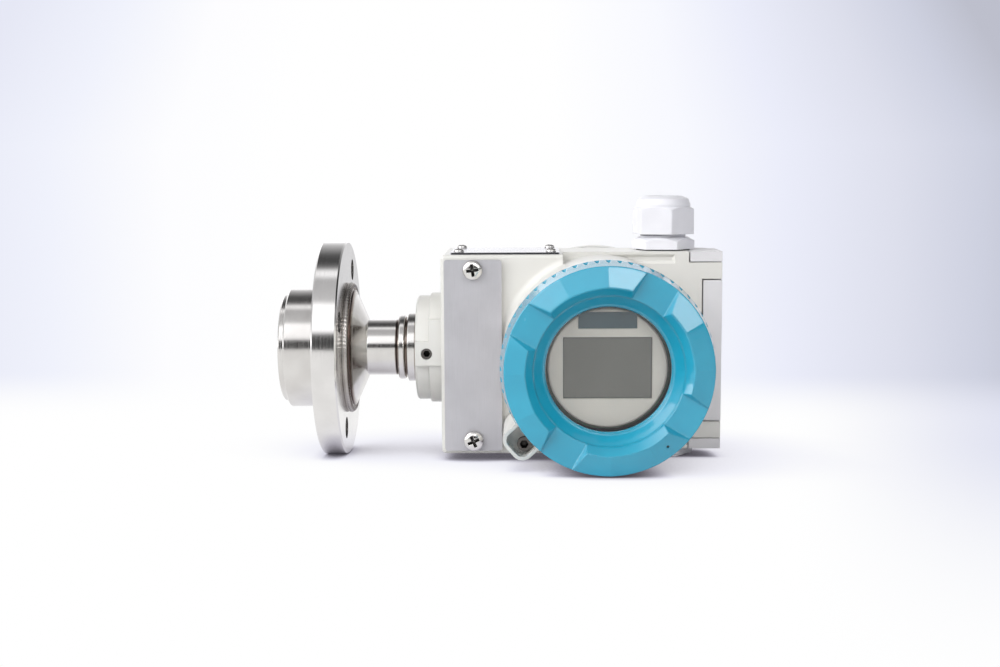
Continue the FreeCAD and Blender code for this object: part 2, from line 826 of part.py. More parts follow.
def cover_blank(window):
    """Turned cover before its lobes are cut, open for a pane or closed."""
    top = h_peak + past
    band_in = band_inner_d / 2
    band_out = band_outer_d / 2
    band_foot = band_out - band_slope
    corners = [
        (rim_r, rim_gap), (rim_edge_r, h_rim), (rim_edge_r, top), (lobe_ring_r + past, top),
        (lobe_ring_r, dish_height(lobe_ring_r)), (band_out, dish_height(band_out)),
        (band_foot, dish_height(band_foot) - band_depth), (band_in, dish_height(band_in) - band_depth),
    ]
    if window:
        pane_r = glass_d / 2 + seat_gap
        edge_r = window_r + window_chamfer
        corners += [
            (edge_r, dish_height(edge_r)), (window_r, window_height - window_chamfer),
            (window_r, glass_height), (pane_r, glass_height), (pane_r, -boss_tail), (boss_r, -boss_tail),
        ]
    else:
        floor = window_height - closed_floor
        corners += [
            (band_in - window_chamfer, window_height), (0, window_height), (0, floor), (boss_r, floor),
        ]
    h_groove = rim_gap + seal_depth
    corners += [
        (boss_r, h_thread), (skirt_r, h_thread), (skirt_r, rim_gap), (seal_r - seal_half, rim_gap),
        (seal_r - seal_half, h_groove), (seal_r + seal_half, h_groove), (seal_r + seal_half, rim_gap),
    ]
    return turned_y([(r, -barrel_front - h) for r, h in corners])


def facet_cutter(angle):
    """Half-space above one planar facet of a lobe, as a large slab."""
    turn = math.radians(angle)
    slope = math.radians(facet_slope)
    outward = Vector(math.cos(turn), 0, math.sin(turn))
    tangent = Vector(-math.sin(turn), 0, math.cos(turn))
    uphill = outward * -math.cos(slope) + Y_AXIS * -math.sin(slope)
    normal = outward * math.sin(slope) + Y_AXIS * -math.cos(slope)
    base = Vector(x_barrel, -barrel_front - h_rim, 0) + outward * facet_r
    reach = rim_r - lobe_ring_r
    corners = [(-reach, -rim_r), (2 * reach, -rim_r), (2 * reach, rim_r), (-reach, rim_r)]
    return prism(corners, lambda p: base + uphill * p.x + tangent * p.y, normal * rim_height)


def slot_cutter(angle):
    """Straight wrench slot with sloping walls across the cover's face."""
    turn = math.radians(angle)
    along = Vector(math.cos(turn), 0, math.sin(turn))
    across = Vector(-math.sin(turn), 0, math.cos(turn))
    top = h_peak + 2 * past
    floor_half = slot_floor_width / 2
    top_half = floor_half + (slot_width - slot_floor_width) / 2 * (top - h_slot) / (h_peak - h_slot)
    corners = [(-floor_half, h_slot), (floor_half, h_slot), (top_half, top), (-top_half, top)]
    start = Vector(x_barrel, -barrel_front, 0) - along * (rim_r + past)
    return prism(corners, lambda p: start + across * p.x - Y_AXIS * p.y, along * 2 * (rim_r + past))


def rim_notches():
    """Half-round flutes round the rim, closed towards the barrel and running out in the rim's draft."""
    y_start = -barrel_front - rim_gap - notch_lip
    axis_r = rim_r - notch_depth + notch_r
    notches = []
    for k in range(notch_count):
        turn = 2 * math.pi * k / notch_count
        start = (x_barrel + axis_r * math.cos(turn), y_start, axis_r * math.sin(turn))
        notches.append(rod(start, Y_AXIS * -1, notch_r, rim_height))
    return notches


def wire_hole():
    """Small blind hole for a seal wire in a lobe's face."""
    turn = math.radians(wire_hole_angle)
    r = (lobe_ring_r + rim_edge_r) / 2
    top = (x_barrel + r * math.cos(turn), -barrel_front - h_peak, r * math.sin(turn))
    return rod(top, Y_AXIS, wire_hole_d / 2, h_peak - h_rim + wire_hole_depth)


def make_cover(window):
    """Cast cover ring with faceted lobes, two crossing wrench slots and a fluted rim."""
    pitch = 360 / lobe_count
    lobes = [lobe_angle + pitch * k for k in range(lobe_count)]
    cover = cover_blank(window)
    cover = cover.cut([facet_cutter(a + b * facet_step) for a in lobes for b in (-1, 0, 1)])
    cover = cover.cut([slot_cutter(lobes[0] + pitch / 2), slot_cutter(lobes[1] + pitch / 2)])
    return cover.cut(rim_notches() + [wire_hole()])


def to_rear(shape):
    """Front cover's place turned round to the rear shoulder."""
    turned = shape.rotated(Vector(x_barrel, 0, 0), Z_AXIS, 180)
    return turned.translated(Vector(0, barrel_rear - barrel_front, 0))


def make_cover_seal():
    """Seal ring in the groove of the cover's inner edge."""
    centre = Vector(x_barrel, -barrel_front - rim_gap - seal_depth + seal_half, 0)
    return Part.makeTorus(seal_r, seal_half - running_gap, centre, Y_AXIS)


def make_window_glass():
    """Round pane seated on the cover's inner ledge."""
    return rod((x_barrel, -barrel_front - glass_height, 0), Y_AXIS, glass_d / 2, glass_thickness)


def make_glass_ring():
    """Ring screwed in behind the pane."""
    y = -barrel_front - glass_height + glass_thickness
    return tube((x_barrel, y, 0), Y_AXIS, glass_d / 2 + slip_gap / 2, glass_ring_bore / 2, glass_ring_width)


pieces["front_cover"] = make_cover(True)
pieces["front_cover_seal"] = make_cover_seal()
pieces["window_glass"] = make_window_glass()
pieces["glass_retaining_ring"] = make_glass_ring()
pieces["rear_cover"] = to_rear(make_cover(False))
pieces["rear_cover_seal"] = to_rear(make_cover_seal())


# Front chamber: electronics and display
y_module = -partition_front
y_board = y_module - module_length
y_bezel_back = y_board - board_thickness
y_bezel = -barrel_front
lcd_back = lcd_inset + lcd_thickness
field_back = field_inset + field_thickness


def make_electronics_module():
    """Potted round module standing on the partition."""
    r = bore_r - module_gap
    return turned_y([(0, y_module), (r, y_module), (r, y_board), (0, y_board)])


def make_display_board():
    """Round board on the module."""
    return rod((x_barrel, y_board, 0), Y_AXIS * -1, board_d / 2, board_thickness)


def panel_box(width, height, rise, front, back, grow=0.0):
    """Box behind the bezel's face for a panel of a size, grown by a clearance."""
    a = width / 2 + grow
    b = height / 2 + grow
    return box((x_barrel - a, x_barrel + a), (y_bezel + front, y_bezel + back), (rise - b, rise + b))


def make_display_bezel():
    """Moulded display housing with a panel window and a shallow seat above it."""
    r = bezel_d / 2
    bezel = turned_y([(0, y_bezel_back), (r, y_bezel_back), (r, y_bezel, bezel_edge), (0, y_bezel)])
    window = panel_box(lcd_width, lcd_height, 0, -past, lcd_back, slip_gap / 2)
    seat = panel_box(field_width, field_height, field_rise, -past, field_back, slip_gap / 2)
    return bezel.cut([window, seat])


pieces["electronics_module"] = make_electronics_module()
pieces["display_board"] = make_display_board()
pieces["display_bezel"] = make_display_bezel()
pieces["display_lcd"] = panel_box(lcd_width, lcd_height, 0, lcd_inset, lcd_back)
pieces["display_field_plate"] = panel_box(field_width, field_height, field_rise, field_inset, field_back)


# Rear chamber: terminals and earth screws
terminal_half = terminal_pitch * terminal_count / 2 + terminal_margin
terminal_face = partition_rear + terminal_depth
terminal_shank_d = terminal_mouth - 2 * seat_gap
terminal_seat = terminal_face - terminal_well_depth


def terminal_places():
    """Screw places along the terminal block."""
    first = x_barrel - terminal_pitch * (terminal_count - 1) / 2
    return [first + terminal_pitch * k for k in range(terminal_count)]


def make_terminal_block():
    """Moulded block on the partition with a wire mouth and a screw well for each terminal."""
    half_z = terminal_height / 2
    sides = (x_barrel - terminal_half, x_barrel + terminal_half)
    block = box(sides, (partition_rear, terminal_face), (-half_z, half_z))
    mouth = terminal_mouth / 2
    y_mouth = terminal_seat - mouth
    cuts = []
    for x in terminal_places():
        well = (x, terminal_seat, terminal_screw_rise)
        cuts.append(rod(well, Y_AXIS, terminal_well_d / 2, terminal_well_depth + past))
        cuts.append(rod(well, Y_AXIS * -1, mouth, terminal_hole_depth))
        depth = (y_mouth - terminal_mouth_depth, y_mouth)
        cuts.append(box((x - mouth, x + mouth), depth, (-half_z - past, 0)))
    return block.cut(cuts)


def make_terminal_screws():
    """Clamp screws in the terminal block's wells."""
    head = terminal_well_d - 2 * seat_gap
    screw = pan_screw(head, terminal_head_h, terminal_shank_d, terminal_screw_length)
    return group([aimed(screw, (x, terminal_seat, terminal_screw_rise), Y_AXIS) for x in terminal_places()])


def make_earth_clamp():
    """Square clamp plate of the outer earth terminal."""
    x, y, z = outer_earth
    half = earth_plate / 2
    plate = box((x - half, x + half), (y, y + earth_plate_thickness), (z - half, z + half))
    reach = earth_plate_thickness + 2 * past
    return plate.cut(rod((x, y - past, z), Y_AXIS, earth_screw_d / 2 + slip_gap, reach))


def make_earth_screw(place, lift, length):
    """Round-headed earth screw standing off a face by a lift."""
    screw = pan_screw(earth_head_d, earth_head_h, earth_screw_d, length)
    return aimed(screw, (place[0], place[1] + lift, place[2]), Y_AXIS)


pieces["terminal_block"] = make_terminal_block()
pieces["terminal_screws"] = make_terminal_screws()
pieces["inner_earth_screw"] = make_earth_screw(inner_earth, 0, partition_wall - 2 * past)
pieces["outer_earth_clamp"] = make_earth_clamp()
pieces["outer_earth_screw"] = make_earth_screw(outer_earth, earth_plate_thickness, outer_earth_length)


# Cable gland and blanking plug
gland_flats = gland_tube_d + 2 * gland_wall
z_gland = head_rise + gasket_thickness
z_tube = z_gland + gland_hex_height
z_nut = z_tube + nut_gap
z_dome = z_nut + nut_hex_height
z_insert = z_nut + insert_lift
insert_top = z_insert + insert_length
insert_r = insert_d / 2
tube_r = gland_tube_d / 2
nut_bore_r = tube_r + seat_gap


def make_gasket(low):
    """Flat gasket under a hexagon."""
    return tube((x_entry, 0, low), Z_AXIS, entry_r + gasket_width, entry_r, gasket_thickness)


def bevelled_hexagon(low, height, turn, inset):
    """Hexagon on the entry's line with rounded corners, bevelled round its top from an inset on its flats."""
    top = low + height
    start = gland_flats / 2 - inset
    reach = gland_flats / math.sqrt(3) + past
    fall = (reach - start) * math.tan(math.radians(hex_bevel_angle))
    bevel = turned_z([(0, low), (reach, low), (reach, top - fall), (start, top), (0, top)], x_entry, 0)
    return hexagon((x_entry, 0, low), gland_flats, height, turn, (gland_corner,)).common(bevel)


def make_gland_body():
    """Gland body: hexagon, threaded shank and the tube that takes the insert."""
    tube_top = insert_top - insert_proud
    low = z_gland - gland_shank
    body = joined([
        bevelled_hexagon(z_gland, gland_hex_height, gland_turn, hex_bevel_inset),
        rod((x_entry, 0, low), Z_AXIS, gland_thread_d / 2, gland_shank + past),
        rod((x_entry, 0, z_gland), Z_AXIS, tube_r, tube_top - z_gland),
    ])
    bore = rod((x_entry, 0, low - past), Z_AXIS, gland_bore_d / 2, tube_top - low + 2 * past)
    seat = rod((x_entry, 0, z_insert), Z_AXIS, insert_r + slip_gap, insert_length)
    return body.cut([bore, seat])


def make_gland_insert():
    """Rubber insert that grips the cable."""
    bore = cable_d / 2
    return turned_z([
        (bore, z_insert + slip_gap), (insert_r, z_insert + slip_gap), (insert_r, insert_top - insert_chamfer),
        (insert_r - insert_chamfer, insert_top), (bore, insert_top),
    ], x_entry, 0)


def make_gland_nut():
    """Hexagon cap nut with a domed mouth."""
    tip = z_dome + nut_dome_height
    foot = z_dome - nut_bevel_inset
    dome_r = gland_flats / 2 - nut_dome_inset
    dome = turned_z([
        (0, foot), (dome_r, foot), (dome_r, z_dome),
        (dome_r - nut_dome_draft, z_dome + nut_dome_side, nut_dome_round),
        (nut_mouth_d / 2 + nut_lip, tip), (0, tip),
    ], x_entry, 0)
    nut = joined([bevelled_hexagon(z_nut, nut_hex_height, nut_turn, nut_bevel_inset), dome])
    bore_top = insert_top + lid_gap
    thread = rod((x_entry, 0, z_nut - past), Z_AXIS, nut_bore_r, bore_top - z_nut + past)
    crown = Part.makeCone(nut_bore_r, nut_mouth_d / 2, nut_crown, Vector(x_entry, 0, bore_top))
    mouth = rod((x_entry, 0, z_nut), Z_AXIS, nut_mouth_d / 2, tip - z_nut + past)
    return nut.cut([thread, crown, mouth])


def make_blanking_plug():
    """Hexagon plug in the unused lower entry."""
    top = -z_gland
    return joined([
        hexagon((x_entry, 0, top - plug_head), gland_flats, plug_head, gland_turn, (gland_corner,)),
        rod((x_entry, 0, top - past), Z_AXIS, gland_thread_d / 2, gland_shank + past),
    ])


pieces["gland_gasket"] = make_gasket(head_rise)
pieces["gland_body"] = make_gland_body()
pieces["gland_insert"] = make_gland_insert()
pieces["gland_cap_nut"] = make_gland_nut()
pieces["plug_gasket"] = make_gasket(-z_gland)
pieces["blanking_plug"] = make_blanking_plug()


# Key cover and push buttons
def make_key_cover():
    """Hinged key cover: end plate with an ear over each end and a tab at the front."""
    y_plate = head_front + post_depth + seat_gap
    knuckle = x_pivot - x_ear
    half = tab_height / 2
    parts = [box((x_lid, x_end), (y_plate, y_pivot), (-head_rise, head_rise))]
    for low in (-head_rise, z_ear):
        parts.append(box((x_ear, x_end), (head_front, y_pivot), (low, low + ear_thickness)))
        parts.append(rod((x_pivot, y_pivot, low), Z_AXIS, knuckle, ear_thickness))
    parts.append(box((x_tab, x_end), (y_tab, y_tab + tab_depth), (-half, half)))
    parts.append(box((x_lid, x_end), (y_tab, y_plate + past), (-half, half)))
    low_end = (x_pivot, y_pivot, -head_rise - past)
    bore = rod(low_end, Z_AXIS, pivot_d / 2 + running_gap, head_height + 2 * past)
    return joined(parts).cut(bore)


def make_key_cover_pivots():
    """Two pins that the key cover turns on, their ends just below its ears' faces."""
    length = ear_thickness - seat_gap + pivot_depth
    low = head_rise - seat_gap - length
    upper = rod((x_pivot, y_pivot, low), Z_AXIS, pivot_d / 2, length)
    lower = rod((x_pivot, y_pivot, -low), Z_AXIS * -1, pivot_d / 2, length)
    return group([upper, lower])


def button_places():
    """Heights of the three buttons from the top."""
    return [button_pitch * k for k in (1, 0, -1)]


def make_button_guide():
    """Plate on the key pocket's ledge with a hole for each button."""
    half_y = key_half_y - slip_gap
    half_z = key_half_z - slip_gap
    span_x = (x_key_ledge, x_key_ledge + guide_thickness)
    plate = box(span_x, (key_offset - half_y, key_offset + half_y), (-half_z, half_z))
    hole_r = button_d / 2 + running_gap
    reach = guide_thickness + 2 * past
    start = x_key_ledge - past
    return plate.cut([rod((start, key_offset, z), X_AXIS, hole_r, reach) for z in button_places()])


def make_button(z):
    """Push button with a flange under the guide plate."""
    under = x_key_ledge - slip_gap
    start = under - button_flange_thickness
    tip = x_key_ledge + guide_thickness + button_rise
    r = button_d / 2
    wire = outline([
        (start, 0), (start, r + button_flange), (under, r + button_flange), (under, r),
        (tip, r, button_edge), (tip, 0),
    ], lambda p: Vector(p.x, key_offset, z + p.y))
    return Part.Face(wire).revolve(Vector(0, key_offset, z), X_AXIS, 360)


pieces["key_cover"] = make_key_cover()
pieces["key_cover_pivots"] = make_key_cover_pivots()
pieces["button_guide"] = make_button_guide()
for name, place in zip(("mode_button", "up_button", "down_button"), button_places()):
    pieces[name] = make_button(place)


os.makedirs("parts", exist_ok=True)
for name, shape in pieces.items():
    shape.exportStep(f"parts/{name}.step")
    print(name, len(shape.Solids), "valid" if shape.isValid() else "NOT VALID", round(shape.Volume, 1))
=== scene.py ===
# %% [markdown]
# # A pressure transmitter, dressed in Blender
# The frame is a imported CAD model: a flange with its neck, a grey cast housing, two turquoise covers,
# a display behind glass, a cable gland and a hinged key cover. Every shape that fits another comes
# from there. This lesson adds what a drawing leaves out: the finish of each metal, paint and plastic,
# the weld, the threads and the cross-head screws, and a white table with soft studio light.

# %% Load the frame
import bpy
import bmesh
import math
import numpy as np
from mathutils import Matrix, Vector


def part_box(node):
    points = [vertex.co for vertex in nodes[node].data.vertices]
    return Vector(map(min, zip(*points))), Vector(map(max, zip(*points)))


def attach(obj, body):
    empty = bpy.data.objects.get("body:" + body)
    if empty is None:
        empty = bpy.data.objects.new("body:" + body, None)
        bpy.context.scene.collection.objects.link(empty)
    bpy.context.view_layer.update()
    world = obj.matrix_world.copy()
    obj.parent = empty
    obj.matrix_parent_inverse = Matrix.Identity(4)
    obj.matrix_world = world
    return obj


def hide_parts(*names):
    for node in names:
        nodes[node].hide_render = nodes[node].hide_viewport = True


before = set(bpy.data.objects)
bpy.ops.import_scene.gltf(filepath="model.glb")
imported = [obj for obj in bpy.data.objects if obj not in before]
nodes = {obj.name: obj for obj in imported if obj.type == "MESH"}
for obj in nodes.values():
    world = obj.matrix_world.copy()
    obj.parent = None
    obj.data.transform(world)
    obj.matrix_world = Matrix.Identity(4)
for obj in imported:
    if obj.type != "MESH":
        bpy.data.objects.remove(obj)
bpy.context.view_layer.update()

# %% [markdown]
# ## Units and colours
# Blender works in metres and in linear light, while a workshop works in millimetres and a paint card
# gives sRGB values. Two short functions do the change, so that every number below can be read in the
# unit it was measured in.

# %% Units and colours
MM = 0.001


def per_mm(size):
    """Texture scale that gives a pattern one repeat in a size in millimetres."""
    return 1 / (size * MM)


def hex_colour(code):
    """sRGB hex to linear: c/12.92 below 0.04045, otherwise ((c + 0.055)/1.055) to the power 2.4."""
    c = np.array([int(code[k:k + 2], 16) for k in (0, 2, 4)]) / 255
    linear = np.where(c <= 0.04045, c / 12.92, ((c + 0.055) / 1.055) ** 2.4)
    return (*map(float, linear), 1.0)


print("half grey 808080 is", round(hex_colour("808080")[0], 3), "in linear light")

# %% [markdown]
# ## One function for nodes
# A material is a small graph. One helper adds a node, sets its options, and fills each socket with a
# number, a colour or what another node gives. A colour ramp also takes its stops. With it a finish
# reads as a list of what feeds what.

# %% Adding a node
def add(tree, kind, inputs=None, stops=(), **options):
    """Adds a shader node. An input is a value, a socket, or a node, which stands for its first output.
    Stops are pairs of a place and a colour, as hex or linear, for a colour ramp."""
    made = tree.nodes.new("ShaderNode" + kind)
    for name, value in options.items():
        setattr(made, name, value)
    for socket, value in (inputs or {}).items():
        source = value.outputs[0] if isinstance(value, bpy.types.Node) else value
        if isinstance(source, bpy.types.NodeSocket):
            tree.links.new(source, made.inputs[socket])
        else:
            made.inputs[socket].default_value = source
    if stops:
        ramp = made.color_ramp.elements
        while len(ramp) < len(stops):
            ramp.new(1.0)
        for element, (place, colour) in zip(ramp, stops):
            element.position = place
            element.color = hex_colour(colour) if isinstance(colour, str) else colour
    return made


# %% [markdown]
# ## Camera
# The photograph was taken from a little above, almost square to the display. The camera's place and
# three angles were worked out from the flange, the block and the cover, and the lens from how fast the
# object shrinks with distance. Forward, right and up are built from the angles and written as the
# camera's matrix, so nothing depends on the render size.

# %% Camera
camera_place = np.array([83.16, -582.24, 72.91]) * MM
yaw, pitch, roll = np.radians([-0.9, 6.587, -0.283])
focal_pixels, picture_width, sensor_width = 1381.2, 1000, 36.0

forward = np.array([math.sin(yaw) * math.cos(pitch), math.cos(yaw) * math.cos(pitch), -math.sin(pitch)])
level_right = np.array([math.cos(yaw), -math.sin(yaw), 0.0])
level_up = np.cross(level_right, forward)
right = math.cos(roll) * level_right + math.sin(roll) * level_up
up = math.cos(roll) * level_up - math.sin(roll) * level_right

lens = bpy.data.cameras.new("camera")
lens.sensor_fit = "HORIZONTAL"
lens.sensor_width = sensor_width
lens.lens = focal_pixels / picture_width * sensor_width
lens.clip_start, lens.clip_end = 0.01, 50
camera = bpy.data.objects.new("camera", lens)
matrix = np.eye(4)
matrix[:3, :] = np.column_stack([right, up, -forward, camera_place])
camera.matrix_world = Matrix(matrix.tolist())
bpy.context.scene.collection.objects.link(camera)
bpy.context.scene.camera = camera
bpy.context.scene.view_settings.view_transform = "Standard"
print("lens", round(lens.lens, 2), "mm")

# %% [markdown]
# ## Table and backdrop
# The table is a wide white sheet that runs into a pale backdrop. The transmitter leans a little
# forward on it: the flange's rim, the plug and the front cover's rim touch. The sheet is a plane with
# that slope over a grid, whose lines lie closest in the middle. Far off it takes the backdrop's colour,
# which turns lavender grey to the right.

# %% Backdrop
backdrop_stops = [
    (0.00, "E6E8F5"), (0.10, "F0F2FC"), (0.20, "FDFDFF"), (0.30, "FFFFFF"), (0.56, "FFFFFF"),
    (0.68, "F8F9FF"), (0.77, "EBEDFA"), (0.87, "DDDFEC"), (0.94, "CED1E0"), (1.00, "BDBFCC"),
]
backdrop_middle, backdrop_half_width = -0.02, 0.38


def backdrop(tree, sideways, upwards):
    """Backdrop colour from two parts of a direction: a ramp over the sideways part, which is stretched
    by up to a quarter towards the top, so that the top corners are darker."""
    offset = add(tree, "Math", {0: sideways, 1: backdrop_middle}, operation="SUBTRACT")
    stretch = add(tree, "MapRange", {
        "Value": upwards, "From Min": 0.02, "From Max": 0.14, "To Min": 1.0, "To Max": 1.25,
    })
    spread = add(tree, "Math", {0: offset, 1: stretch}, operation="MULTIPLY")
    share = add(tree, "MapRange", {
        "Value": spread, "From Min": -backdrop_half_width, "From Max": backdrop_half_width,
    })
    return add(tree, "ValToRGB", {"Fac": share}, stops=backdrop_stops)


print("backdrop of", len(backdrop_stops), "tones")

# %% Table
table_height, table_slope_x, table_slope_y = -45.13 * MM, -0.0056, -0.0767
table_half, table_lines = 6.0, 41


def cells(rows, columns, start=0):
    """Corner numbers of the cells of a grid whose points are counted row by row from a start."""
    index = start + np.arange(rows * columns).reshape(rows, columns)
    corners = [index[:-1, :-1], index[1:, :-1], index[1:, 1:], index[:-1, 1:]]
    return np.stack(corners, axis=-1).reshape(-1, 4)


# Lines at the cube of an even step; height = height in the middle + slope along x + slope along y
line = table_half * np.linspace(-1, 1, table_lines) ** 3
x, y = np.meshgrid(line, line, indexing="ij")
sheet = np.stack([x, y, table_height + table_slope_x * x + table_slope_y * y], axis=-1)
table_mesh = bpy.data.meshes.new("table")
table_mesh.from_pydata(sheet.reshape(-1, 3).tolist(), [], cells(table_lines, table_lines).tolist())
table = bpy.data.objects.new("table", table_mesh)
bpy.context.scene.collection.objects.link(table)
print("table", len(table_mesh.polygons), "cells")

# %% [markdown]
# ## Paper and shadow
# A photographer's white paper is lit until it is plain white, and only the shadow shows on it. A lamp
# bright enough for that would bleach the object, so the paper gives the white itself. Its shadow
# tells how much of the sky each point sees, with the sky leaning to the front left, where most of the
# light is, and a second, short look upwards darkens the narrow gaps at the contacts. To light that
# only bounces, the paper is plain and matt.

# %% Paper near the object
def new_material(name):
    """New material; returns it, its empty node tree and the place on the piece in Object coordinates."""
    made = bpy.data.materials.new(name)
    made.use_nodes = True
    made.node_tree.nodes.clear()
    return made, made.node_tree, add(made.node_tree, "TexCoord").outputs["Object"]


paper, tree, place = new_material("white_studio_paper")
smooth = {"interpolation_type": "SMOOTHSTEP"}
white = hex_colour("FFFFFF")
from_camera = add(tree, "VectorMath", {0: place, 1: tuple(camera_place)}, operation="SUBTRACT")
aim = add(tree, "VectorMath", {0: from_camera}, operation="NORMALIZE")
sideways = add(tree, "SeparateXYZ", {0: aim}).outputs["X"]
depth = add(tree, "SeparateXYZ", {0: place}).outputs["Y"]
# Painted shade: near the object the paper turns lavender grey to the right and towards the back
to_right = add(tree, "MapRange", {"Value": sideways, "From Min": 0.18, "From Max": 0.36}, **smooth)
to_back = add(tree, "MapRange", {"Value": depth, "From Min": -0.38, "From Max": 0.05}, **smooth)
painted_dusk = add(tree, "Math", {0: to_right, 1: to_back}, operation="MULTIPLY")
tint = add(tree, "Mix", {0: painted_dusk, 6: white, 7: hex_colour("DFE1F0")}, data_type="RGBA")
print(paper.name, "tinted by", len(tree.nodes), "nodes")

# %% Shadow on the paper
shadow_reach, contact_reach = 90 * MM, 9 * MM
towards_light = (-0.45, -0.65, 0.0)
upright = add(tree, "NewGeometry").outputs["Normal"]
leaning = add(tree, "VectorMath", {0: upright, 1: towards_light}, operation="ADD")
sky_axis = add(tree, "VectorMath", {0: leaning}, operation="NORMALIZE")
open_sky = add(tree, "AmbientOcclusion", {"Distance": shadow_reach, "Normal": sky_axis}, samples=16)
shade = add(tree, "ValToRGB", {"Fac": open_sky.outputs["AO"]}, stops=[
    (0.0, "1E1C22"), (0.10, "605E64"), (0.24, "B0AEB5"), (0.44, "E4E3EA"), (0.62, "F1F1F9"), (0.90, "FFFFFF"),
])
gap = add(tree, "AmbientOcclusion", {"Distance": contact_reach}, samples=8)
contact = add(tree, "ValToRGB", {"Fac": gap.outputs["AO"]}, stops=[
    (0.0, "6E6C72"), (0.30, "BAB8BE"), (0.55, "EAE9EF"), (0.80, "FFFFFF"),
])
shadow = add(tree, "VectorMath", {0: shade, 1: contact}, operation="MULTIPLY")
near_colour = add(tree, "VectorMath", {0: tint.outputs[2], 1: shadow}, operation="MULTIPLY")
print("shadow reaches", round(shadow_reach / MM), "mm, contact", round(contact_reach / MM), "mm")

# %% Paper into backdrop
near = add(tree, "Emission", {"Color": near_colour, "Strength": 1.0})
far = add(tree, "Emission", {"Color": backdrop(tree, sideways, 0.0), "Strength": 1.0})
distance = add(tree, "MapRange", {"Value": depth, "From Min": 0.12, "From Max": 0.52}, **smooth)
sweep = add(tree, "MixShader", {0: distance, 1: near, 2: far})
matt = add(tree, "BsdfDiffuse", {"Color": hex_colour("E6E6E8")})
rays = add(tree, "LightPath").outputs
direct = add(tree, "Math", {0: rays["Is Camera Ray"], 1: rays["Is Glossy Ray"]}, operation="MAXIMUM")
seen = add(tree, "Math", {0: direct, 1: rays["Is Transmission Ray"]}, operation="MAXIMUM")
add(tree, "OutputMaterial", {"Surface": add(tree, "MixShader", {0: seen, 1: matt, 2: sweep})})
table_mesh.materials.append(paper)
print(paper.name, "on the table,", len(tree.nodes), "nodes")

# %% [markdown]
# ## Studio light
# The bands in the turned steel tell where the light was: a white table, a dark room above its edge, a
# wide soft box from 24 to 54 degrees, a paler one overhead, a dark ceiling behind it, and the white
# backdrop. Lamps could be set up one by one, but the bands only give angles, so the world repeats them
# as one ramp over the angle around the flange's axis, brighter on the left. Two lamps are added to it:
# a tall window on the left, and a narrow strip on the right, which slopes down to the side and makes
# two facets of the cover shine. The camera sees only the backdrop.

# %% Room
def turn(degrees):
    """Place on the ramp of an angle around the flange's axis, 0 in front and 90 overhead."""
    return (degrees + 180) / 360


def grey(level):
    """Grey of a linear level, very slightly cool."""
    return (level, level, level * 1.02, 1.0)


room_levels = [
    (-170, 0.95), (-60, 0.80), (0, 0.50), (3, 0.06), (20, 0.06),  # table, then the dark room
    (24, 1.45), (52, 1.55), (57, 0.65), (84, 0.55), (90, 1.3), (95, 1.3),  # soft boxes
    (101, 0.25), (108, 0.08), (117, 0.075), (125, 0.13),  # dark ceiling
    (133, 0.28), (141, 0.45), (149, 0.60), (157, 0.85), (170, 1.5),  # backdrop
]
world = bpy.data.worlds.new("studio")
bpy.context.scene.world = world
world.use_nodes = True
tree = world.node_tree
tree.nodes.clear()
towards = add(tree, "SeparateXYZ", {0: add(tree, "TexCoord").outputs["Generated"]}).outputs
ahead = add(tree, "Math", {0: towards["Y"], 1: -1.0}, operation="MULTIPLY")
angle = add(tree, "Math", {0: towards["Z"], 1: ahead}, operation="ARCTAN2")
share = add(tree, "MapRange", {"Value": angle, "From Min": -math.pi, "From Max": math.pi})
bands = add(tree, "ValToRGB", {"Fac": share}, stops=[
    (turn(degrees), grey(level)) for degrees, level in room_levels
])
leftwards = add(tree, "MapRange", {
    "Value": towards["X"], "From Min": -1.0, "From Max": 1.0, "To Min": 1.5, "To Max": 0.35,
})
room = add(tree, "VectorMath", {0: bands, "Scale": leftwards}, operation="SCALE")
print("room of", len(room_levels), "levels, brightest", max(level for degrees, level in room_levels))

# %% Strip lamp
strip_angle, strip_fall, strip_level = math.radians(42), math.radians(-32), 4.5
strip_core, strip_edge = math.radians(5), math.radians(8)
middle = add(tree, "Math", {0: towards["X"], 1: strip_fall, 2: strip_angle}, operation="MULTIPLY_ADD")
offset = add(tree, "Math", {0: angle, 1: middle}, operation="SUBTRACT")
away = add(tree, "Math", {0: offset}, operation="ABSOLUTE")
across = add(tree, "MapRange", {
    "Value": away, "From Min": strip_core, "From Max": strip_edge, "To Min": 1.0, "To Max": 0.0,
})
start = add(tree, "MapRange", {"Value": towards["X"], "From Min": 0.05, "From Max": 0.12})
end = add(tree, "MapRange", {
    "Value": towards["X"], "From Min": 0.62, "From Max": 0.70, "To Min": strip_level, "To Max": 0.0,
})
along = add(tree, "Math", {0: start, 1: end}, operation="MULTIPLY")
strip = add(tree, "Math", {0: across, 1: along}, operation="MULTIPLY")
print("strip lamp", round(math.degrees(2 * strip_core)), "degrees wide, level", strip_level)

# %% Window and world
window_level, studio_level = 3.0, 0.96
side = add(tree, "MapRange", {
    "Value": towards["X"], "From Min": -0.7, "From Max": -0.3, "To Min": window_level, "To Max": 0.0,
})
sill = add(tree, "MapRange", {"Value": angle, "From Min": math.radians(2), "From Max": math.radians(20)})
lintel = add(tree, "MapRange", {
    "Value": angle, "From Min": math.radians(75), "From Max": math.radians(95), "To Min": 1.0, "To Max": 0.0,
})
height = add(tree, "Math", {0: sill, 1: lintel}, operation="MULTIPLY")
lamps = add(tree, "Math", {0: side, 1: height, 2: strip}, operation="MULTIPLY_ADD")
light = add(tree, "VectorMath", {0: room, 1: lamps}, operation="ADD")
studio = add(tree, "Background", {"Color": light, "Strength": studio_level})
behind = add(tree, "Background", {"Color": backdrop(tree, towards["X"], towards["Z"]), "Strength": 1.0})
eye = add(tree, "LightPath").outputs["Is Camera Ray"]
add(tree, "OutputWorld", {"Surface": add(tree, "MixShader", {0: eye, 1: studio, 2: behind})})
